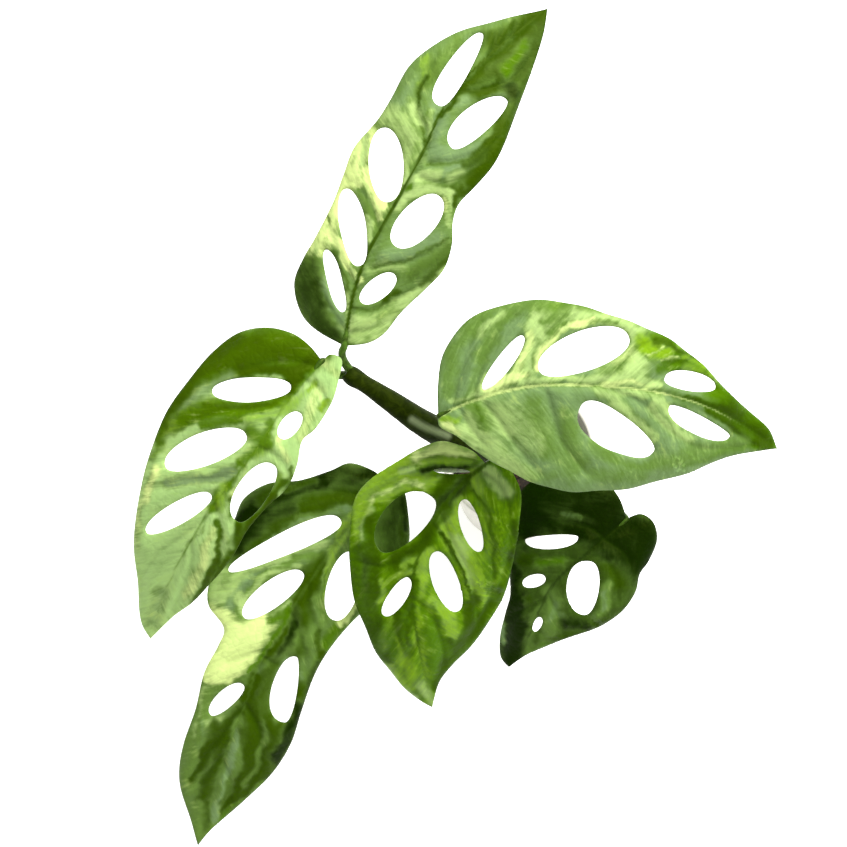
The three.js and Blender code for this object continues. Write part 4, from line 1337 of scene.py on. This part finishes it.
def stalkMaterial(name, young, old, roughness, shine=0.25):
    # waxy green skin of a stalk, with fine lengthwise streaks of a second colour and a painted pale highlight
    material, tree = newMaterial(name)
    place = addNode(tree, "ShaderNodeTexCoord").outputs["Object"]
    streaks = noise(tree, place, 4, 5, Roughness=0.6, Distortion=1.5)["Fac"]
    colour = mixColours(tree, spread(tree, streaks, 0.4, 0.66), linear(young), linear(old))
    skin = addNode(
        tree,
        "ShaderNodeBsdfPrincipled",
        {
            # the pale colour is a painted highlight, where the stalk holds one
            "Base Color": mixColours(tree, attributeOf(tree, "bloom"), colour, linear("#808A68")),
            "Roughness": roughness,
            "Specular IOR Level": shine,
            "Specular Tint": linear("#E6F090"),
            "Normal": bumps(tree, noise(tree, place, 0.9, 3)["Fac"], 0.15, 0.4),
        },
    )
    finishMaterial(tree, skin)
    return material


def pushed(tree, shape, way, distance):
    # the shape with its points pushed along the way, by the distance
    offset = addNode(tree, "ShaderNodeVectorMath", {0: way.outputs[0], "Scale": distance}, operation="SCALE")
    return addNode(
        tree, "GeometryNodeSetPosition", {"Geometry": shape.outputs[0], "Offset": offset.outputs[0]}
    )


def finishTree(tree, shape, material):
    painted = addNode(tree, "GeometryNodeSetMaterial", {"Geometry": shape.outputs[0], "Material": material})
    addNode(tree, "NodeGroupOutput", {0: painted.outputs[0]})
    return tree


def stalkTree():
    # a round stalk along a line of edges whose points hold its radius
    sockets = {
        "Sides": "NodeSocketInt",
        "Unevenness": "NodeSocketFloat",
        "Seed": "NodeSocketInt",
        "Material": "NodeSocketMaterial",
    }
    tree, given = treeWithInputs("stalk", sockets)
    line = addNode(tree, "GeometryNodeMeshToCurve", {0: given["Geometry"]})
    ring = addNode(tree, "GeometryNodeCurvePrimitiveCircle", {"Resolution": given["Sides"], "Radius": 1.0})
    radius = addNode(tree, "GeometryNodeInputNamedAttribute", {"Name": "radius"}, data_type="FLOAT")
    tube = addNode(
        tree,
        "GeometryNodeCurveToMesh",
        {
            "Curve": line.outputs[0],
            "Profile Curve": ring.outputs[0],
            "Scale": radius.outputs[0],
            "Fill Caps": True,
        },
    )
    place = addNode(tree, "GeometryNodeInputPosition")
    lumps = addNode(
        tree,
        "ShaderNodeTexNoise",
        {"Vector": place.outputs[0], "W": given["Seed"], "Scale": 1 / (7 * metre), "Detail": 2},
        noise_dimensions="4D",
    )
    centred = maths(tree, "SUBTRACT", lumps.outputs["Fac"], 0.5)
    height = maths(tree, "MULTIPLY", centred, given["Unevenness"])
    moved = pushed(tree, tube, addNode(tree, "GeometryNodeInputNormal"), height)
    smooth = addNode(tree, "GeometryNodeSetShadeSmooth", {0: moved.outputs[0]})
    real = addNode(tree, "GeometryNodeRealizeInstances", {0: smooth.outputs[0]})
    return finishTree(tree, real, given["Material"])


stalks = stalkTree()


def stalk(name, route, radii, material, sides, unevenness, seed):
    # a stalk along the route, with a radius for each of its points
    edges = [(i, i + 1) for i in range(len(route) - 1)]
    mesh = newMesh(name, route, [], edges)
    addValues(mesh, "radius", np.asarray(radii) * metre)
    piece = newObject(name, mesh)
    growModifier(
        piece, stalks, {"Sides": sides, "Unevenness": unevenness * metre, "Seed": seed, "Material": material}
    )
    return plainMesh(piece)


# The vine rises from the mix and leans over. Its radius is given at equal steps of its length.
vine = {
    "foot": [[0, 0, 26], [0, 0, 44], [0, -1, 60]],
    "top": [
        [508, 462, -76], [490, 461, -54], [466, 449, -34], [441, 433, -23], [421, 422, -17],
        [386, 398, -11], [346, 372, -8],
    ],
    "radii": [4, 4, 4.1, 4.3, 4.6, 5, 4.1, 2.4],
    "steps": 340,
    "sides": 32,
    "unevenness": 0.7,
    "seed": 3,
    "nodeRise": 0.5,
    "nodeSpread": 2.5,
    "scar": {"depth": 0.25, "above": 4, "width": 0.6},  # the ring that an old sheath leaves by a node
    # a painted highlight: the route, lift and reach of a pale streak along the vine
    "bloom": {"route": [[412, 420], [424, 427], [437, 432], [448, 436]], "lift": -17, "reach": 1.7},
    "root": {"radii": [1.3, 1.1, 0.5], "steps": 40, "sides": 12, "unevenness": 0.5, "straight": 0.7},
    "roots": [
        {"share": 0.27, "turn": 150, "length": 11, "drop": 6},
        {"share": 0.36, "turn": 250, "length": 10, "drop": 5},
        {"share": 0.52, "turn": 75, "length": 9, "drop": 4},
    ],
}
vineDrawn = np.array(vine["top"], float)
vineRoute = smoothRoute(
    [*np.array(vine["foot"], float), *fromDrawing(vineDrawn[:, :2], vineDrawn[:, 2])], vine["steps"]
)
vineLength = np.linalg.norm(np.diff(vineRoute, axis=0), axis=1).sum()
vineShares = np.linspace(0, 1, vine["steps"])
vineRadius = along(vine["radii"], vineShares)
for leaf in leaves.values():
    gap = (vineShares - leaf["petiole"]["leaves"]) * vineLength
    vineRadius = vineRadius + vine["nodeRise"] * np.exp(-((gap / vine["nodeSpread"]) ** 2))
    fromScar = (gap - vine["scar"]["above"]) / vine["scar"]["width"]
    vineRadius = vineRadius - vine["scar"]["depth"] * np.exp(-(fromScar**2))


def vinePoint(share):
    return vineRoute[round(share * (vine["steps"] - 1))]


waxyVine = stalkMaterial("waxyVine", "#141F00", "#242F03", 0.6, 0.06)
waxyPetiole = stalkMaterial("waxyPetiole", "#23360A", "#42611A", 0.42)
corkyRoot = stalkMaterial("corkyRoot", "#5A4526", "#7C6A40", 0.8)  # dry brown skin of an aerial root

stem = stalk(
    "vineStem", vineRoute, vineRadius, waxyVine, vine["sides"], vine["unevenness"], vine["seed"]
)
rootPieces = []
rootLook = vine["root"]
for i, root in enumerate(vine["roots"]):
    start = vinePoint(root["share"])
    angle = math.radians(root["turn"])
    out = np.array([math.cos(angle), math.sin(angle), 0])
    end = start + out * root["length"] - [0, 0, root["drop"]]
    bend = start + out * root["length"] * rootLook["straight"]
    route = smoothRoute([start, bend, end], rootLook["steps"])
    radii = along(rootLook["radii"], np.linspace(0, 1, rootLook["steps"]))
    name = f"aerialRoot{i + 1}"
    rootPieces.append(stalk(name, route, radii, corkyRoot, rootLook["sides"], rootLook["unevenness"], i))
joinInto(stem, rootPieces)

# a painted highlight: one pale streak on the side of the vine's skin that faces the camera
flat = np.stack([drawingRight, drawingUp], 1)
highlightLine = fromDrawing(spacedPoints(vine["bloom"]["route"], 2), vine["bloom"]["lift"]) @ flat
skinPoints = np.array([vertex.co for vertex in stem.data.vertices]) / metre
facing = np.array([vertex.normal for vertex in stem.data.vertices]) @ drawingOut
fromHighlight = nearest(skinPoints @ flat, highlightLine)[0] / vine["bloom"]["reach"]
addValues(stem.data, "bloom", (1 - fade(fromHighlight, 0, 1.2)) * fade(facing, 0, 0.2))
onFrame(stem, "stem")
print("vine grown")

petioleLook = {
    "steps": 24,  # for each point of its route
    "sides": 20,
    "unevenness": 0.35,
    "seed": 7,
    "end": [1.1, 0.6],  # radii where it runs into the midrib
    "overlap": 0.4,  # how far along the midrib's first stretch it runs
    "sunk": 0.9,  # how far below the blade's middle
}
livingLeaf = leafMaterial()
for name, leaf in leaves.items():
    mesh, surface = bladeMesh(name, leaf)
    mesh.materials.append(livingLeaf)
    words = name.split("_")
    piece = newObject(words[0] + "".join(word.capitalize() for word in words[1:]), mesh)
    petiole = leaf["petiole"]
    first, second = np.array(leaf["midrib"][:2], float)
    under = surface(np.array([first, first + (second - first) * petioleLook["overlap"]]))[0]
    drawn = np.array(petiole["route"], float)
    route = [vinePoint(petiole["leaves"]), *fromDrawing(drawn[:, :2], drawn[:, 2])]
    route += [*(under - petioleLook["sunk"] * drawingOut)]
    count = petioleLook["steps"] * len(route)
    radii = [petiole["radius"][0], *petiole["radius"], *petioleLook["end"]]
    stalkPiece = stalk(
        name + "Petiole",
        smoothRoute(route, count),
        along(radii, np.linspace(0, 1, count)),
        waxyPetiole,
        petioleLook["sides"],
        petioleLook["unevenness"],
        petioleLook["seed"],
    )
    joinInto(piece, [stalkPiece])
    onFrame(piece, name)
    print("grown", name, len(piece.data.polygons))

# The pot: satin glazed stoneware with a rim band and drain holes
pot = {
    "height": 58,
    "rimRadius": 31,
    "footRadius": 23,
    "wall": 2.6,
    "floor": 4,
    "band": 9,
    "bandStep": 1.6,
    "turns": 128,
    "bandRound": 1.4,  # height of the step's sloped underside
    "drain": {"count": 3, "radius": 2.4, "ring": 12, "firstTurn": 0.4, "sides": 32},
}
bandFoot = pot["height"] - pot["band"]


def wallAt(z):
    return pot["footRadius"] + (pot["rimRadius"] - pot["bandStep"] - pot["footRadius"]) * z / bandFoot


def rounded(corners, steps=7):
    # a profile of [radius, height, rounding], with each corner turned into an arc-like curve
    line = []
    count = len(corners)
    for i, (r, z, size) in enumerate(corners):
        here = np.array([r, z], float)
        if size == 0 or i in (0, count - 1):
            line.append(here)
            continue
        before = np.array(corners[i - 1][:2], float) - here
        after = np.array(corners[i + 1][:2], float) - here
        a = here + before / np.linalg.norm(before) * size
        b = here + after / np.linalg.norm(after) * size
        for f in np.linspace(0, 1, steps):
            line.append(a * (1 - f) ** 2 + here * 2 * f * (1 - f) + b * f**2)
    return np.array(line)


def turned(name, profile, turns):
    # a profile from the axis and back to it, turned round the Z axis into a closed solid
    ring = np.arange(turns) / turns * 2 * math.pi
    inner = profile[1:-1]
    points = [[0, 0, profile[0][1]]]
    for r, z in inner:
        points += [[r * math.cos(a), r * math.sin(a), z] for a in ring]
    points.append([0, 0, profile[-1][1]])
    last = len(points) - 1
    faces = []
    for k in range(turns):
        nextK = (k + 1) % turns
        faces.append([0, 1 + nextK, 1 + k])
        for i in range(len(inner) - 1):
            a, b = 1 + i * turns, 1 + (i + 1) * turns
            faces.append([a + k, a + nextK, b + nextK, b + k])
        top = 1 + (len(inner) - 1) * turns
        faces.append([top + k, top + nextK, last])
    return newObject(name, newMesh(name, points, faces))


potProfile = rounded(
    [
        [0, 0, 0],
        [pot["footRadius"], 0, 1.6],
        [wallAt(bandFoot), bandFoot, 1.2],
        [pot["rimRadius"], bandFoot + pot["bandRound"], 1.3],
        [pot["rimRadius"], pot["height"], 1.3],
        [pot["rimRadius"] - pot["wall"], pot["height"], 1.0],
        [wallAt(bandFoot) - pot["wall"], bandFoot - 1, 2],
        [wallAt(pot["floor"]) - pot["wall"], pot["floor"], 2],
        [0, pot["floor"], 0],
    ]
)
potPiece = turned("glazedPot", potProfile, pot["turns"])
drain = pot["drain"]
low, high = -pot["floor"], 3 * pot["floor"]  # past both faces of the pot's floor
drainProfile = np.array([[0, low], [drain["radius"], low], [drain["radius"], high], [0, high]])
for i in range(drain["count"]):
    turn = i / drain["count"] * 2 * math.pi + drain["firstTurn"]
    hole = turned("drainHole", drainProfile, drain["sides"])
    x, y = (drain["ring"] * way(turn) * metre for way in (math.cos, math.sin))
    hole.data.transform(Matrix.Translation((x, y, 0)))
    cut = potPiece.modifiers.new("drain", "BOOLEAN")
    cut.object = hole
    cut.solver = "EXACT"
    plainMesh(potPiece)
    bpy.data.objects.remove(hole)


def glazeMaterial():
    # satin glaze on stoneware: off-white with faint specks, soft highlights and a barely uneven skin
    material, tree = newMaterial("satinGlazedStoneware")
    place = addNode(tree, "ShaderNodeTexCoord").outputs["Object"]
    specks = spread(tree, noise(tree, place, 0.8, 2)["Fac"], 0.68, 0.76)
    skin = addNode(
        tree,
        "ShaderNodeBsdfPrincipled",
        {
            "Base Color": mixColours(tree, specks, linear("#CFCAC0"), linear("#B8B1A4")),
            "Roughness": 0.42,
            "IOR": 1.5,
            "Coat Weight": 0.15,
            "Coat Roughness": 0.3,
            "Normal": bumps(tree, noise(tree, place, 9, 2)["Fac"], 0.3, 0.3),
        },
    )
    finishMaterial(tree, skin)
    return material


potPiece.data.materials.clear()
potPiece.data.materials.append(glazeMaterial())
potPiece.data.shade_smooth()
onFrame(potPiece, "pot")
print("pot turned")

# Potting mix: a low mound of peat with bark chips and grains of perlite on it
mix = {
    "level": 49.2,
    "dome": 2.0,
    "gap": 0.5,  # to the pot's wall
    "turns": 96,
    "rings": 26,
    "crumble": 0.35,  # how far the mound's top rises and dips
    "crumbleWaves": [(0.5, 0.3), (0.9, 1.7), (1.7, 2.9), (2.9, 4.1)],  # how close, and where they start
    "chips": {"count": 520, "size": 1.25, "seed": 11},
    "grains": {"count": 60, "size": 0.95, "seed": 5},
}


def scatterTree():
    # loose pieces strewn over the upward faces of a mound, pressed a little into it
    sockets = {
        "Density": "NodeSocketFloat",
        "Size": "NodeSocketFloat",
        "Seed": "NodeSocketInt",
        "Material": "NodeSocketMaterial",
    }
    tree, given = treeWithInputs("strewn", sockets)
    normal = addNode(tree, "GeometryNodeInputNormal")
    height = addNode(tree, "ShaderNodeSeparateXYZ", {0: normal.outputs[0]})
    upward = addNode(tree, "FunctionNodeCompare", {0: height.outputs[2], 1: 0.7}, operation="GREATER_THAN")
    points = addNode(
        tree,
        "GeometryNodeDistributePointsOnFaces",
        {
            "Mesh": given["Geometry"],
            "Selection": upward.outputs[0],
            "Density": given["Density"],
            "Seed": given["Seed"],
        },
    )
    chip = addNode(tree, "GeometryNodeMeshIcoSphere", {"Radius": given["Size"], "Subdivisions": 2})
    shape = addNode(
        tree,
        "FunctionNodeRandomValue",
        {0: (0.55, 0.45, 0.3), 1: (1.5, 1.0, 0.7), "Seed": given["Seed"]},
        data_type="FLOAT_VECTOR",
    )
    turn = addNode(
        tree,
        "FunctionNodeRandomValue",
        {0: (-0.5, -0.5, 0.0), 1: (0.5, 0.5, 6.28), "Seed": given["Seed"]},
        data_type="FLOAT_VECTOR",
    )
    strewn = addNode(
        tree,
        "GeometryNodeInstanceOnPoints",
        {
            "Points": points.outputs["Points"],
            "Instance": chip.outputs[0],
            "Rotation": turn.outputs[0],
            "Scale": shape.outputs[0],
        },
    )
    real = addNode(tree, "GeometryNodeRealizeInstances", {0: strewn.outputs[0]})
    place = addNode(tree, "GeometryNodeInputPosition")
    lumps = noise(tree, place.outputs[0], 1.4, 1)["Color"]
    middle = (0.5, 0.5, 0.5)
    centred = addNode(tree, "ShaderNodeVectorMath", {0: lumps, 1: middle}, operation="SUBTRACT")
    moved = pushed(tree, real, centred, maths(tree, "MULTIPLY", given["Size"], 1.1))
    return finishTree(tree, moved, given["Material"])


def crumbMaterial(name, dark, light, roughness, grain):
    # loose stuff with a rough skin in two shades, whose lumps are a grain across
    material, tree = newMaterial(name)
    place = addNode(tree, "ShaderNodeTexCoord").outputs["Object"]
    lumps = noise(tree, place, grain, 6)["Fac"]
    skin = addNode(
        tree,
        "ShaderNodeBsdfPrincipled",
        {
            "Base Color": mixColours(tree, spread(tree, lumps, 0.35, 0.65), linear(dark), linear(light)),
            "Roughness": roughness,
            "Normal": bumps(tree, lumps, 0.6, 0.8),
        },
    )
    finishMaterial(tree, skin)
    return material


dampPeat = crumbMaterial("dampPeat", "#140E08", "#2E2216", 0.95, 1.6)  # dark, crumbly and matte
pineBark = crumbMaterial("pineBark", "#22160C", "#4E3722", 0.85, 2.5)  # torn chips, browner than peat
perliteGrain = crumbMaterial("perliteGrain", "#CFCBC2", "#F1EFE9", 0.9, 0.9)  # chalky white foam of glass

shoulder = mix["level"] - mix["dome"]
floorOfMix = pot["floor"] + mix["gap"]
footOfMix, edgeOfMix = (wallAt(z) - pot["wall"] - mix["gap"] for z in (floorOfMix, shoulder))
climb = np.linspace(0, math.pi / 2, mix["rings"])[:-1]
moundProfile = [[0, floorOfMix], [footOfMix, floorOfMix]]
moundProfile += [[edgeOfMix * math.cos(a), shoulder + mix["dome"] * math.sin(a)] for a in climb]
moundProfile.append([0, mix["level"]])
mound = turned("pottingMix", np.array(moundProfile), mix["turns"])
coords = np.zeros(3 * len(mound.data.vertices))
mound.data.vertices.foreach_get("co", coords)
coords = coords.reshape(-1, 3) / metre
crumble = sum(
    np.sin(coords[:, 0] * k * 0.9 + phase) * np.cos(coords[:, 1] * k + 2 * phase) / k
    for k, phase in mix["crumbleWaves"]
)
coords[:, 2] += mix["crumble"] * crumble * fade(coords[:, 2], shoulder - 1, shoulder + 0.5)
mound.data.vertices.foreach_set("co", (coords * metre).ravel())
strewn = scatterTree()
moundArea = math.pi * (edgeOfMix * metre) ** 2
looseKinds = [("barkChips", mix["chips"], pineBark), ("perliteGrains", mix["grains"], perliteGrain)]
loose = []
for name, part, material in looseKinds:
    piece = newObject(name, mound.data.copy())
    inputs = {
        "Density": part["count"] / moundArea,
        "Size": part["size"] * metre,
        "Seed": part["seed"],
        "Material": material,
    }
    growModifier(piece, strewn, inputs)
    loose.append(plainMesh(piece))
mound.data.materials.append(dampPeat)
joinInto(mound, loose)
onFrame(mound, "soil")
print("potting mix strewn", len(mound.data.polygons))

# Studio: a flat sheet of white paper, light from all round and one large soft key light
studio = {  # lengths in metres
    "floorSize": 6,
    "paper": "#F6F6F4",
    "around": 0.66,
    "keyPower": 64,
    "keySize": 1.2,
    "keyFrom": (0.7, 0.6, 1.6),
    "paperGlow": 0.5,  # so that the sheet stays white under the plant, as on a light table
    "nearestSeen": 0.01,
}
paper, paperTree = newMaterial("mattePaper")  # uncoated white paper, with hardly any shine
paperSkin = addNode(
    paperTree,
    "ShaderNodeBsdfPrincipled",
    {
        "Base Color": linear(studio["paper"]),
        "Roughness": 0.9,
        "Specular IOR Level": 0.1,
        "Emission Color": (1, 1, 1, 1),
        "Emission Strength": studio["paperGlow"],
    },
)
finishMaterial(paperTree, paperSkin)
half = studio["floorSize"] / 2 / metre
corners = [[-half, -half, 0], [half, -half, 0], [half, half, 0], [-half, half, 0]]
floor = newObject("floor", newMesh("floor", corners, [[0, 1, 2, 3]]))
floor.data.materials.append(paper)

world = bpy.data.worlds.new("studioWorld")
world.use_nodes = True
world.node_tree.nodes.clear()
around = {"Color": (1, 1, 1, 1), "Strength": studio["around"]}
background = addNode(world.node_tree, "ShaderNodeBackground", around)
addNode(world.node_tree, "ShaderNodeOutputWorld", {"Surface": background.outputs[0]})
bpy.context.scene.world = world

keyLight = bpy.data.lights.new("keyLight", "AREA")
keyLight.energy = studio["keyPower"]
keyLight.size = studio["keySize"]
key = bpy.data.objects.new("keyLight", keyLight)
bpy.context.scene.collection.objects.link(key)
key.location = studio["keyFrom"]
plantMiddle = Vector(drawing["centre"] * metre)
key.rotation_euler = (plantMiddle - key.location).to_track_quat("-Z", "Y").to_euler()

cameraData = bpy.data.cameras.new("photoCamera")
halfPicture = drawing["middle"] * drawing["pixel"]
cameraData.angle = 2 * math.atan(halfPicture / drawing["distance"])
cameraData.clip_start = studio["nearestSeen"]
camera = bpy.data.objects.new("photoCamera", cameraData)
bpy.context.scene.collection.objects.link(camera)
axes = np.stack([drawingRight, drawingUp, drawingOut], 1)
eye = drawing["centre"] + drawing["distance"] * drawingOut
camera.matrix_world = Matrix.Translation(Vector(eye * metre)) @ Matrix(axes.tolist()).to_4x4()
bpy.context.scene.camera = camera
bpy.context.scene.view_settings.view_transform = "Standard"
print("studio lit")
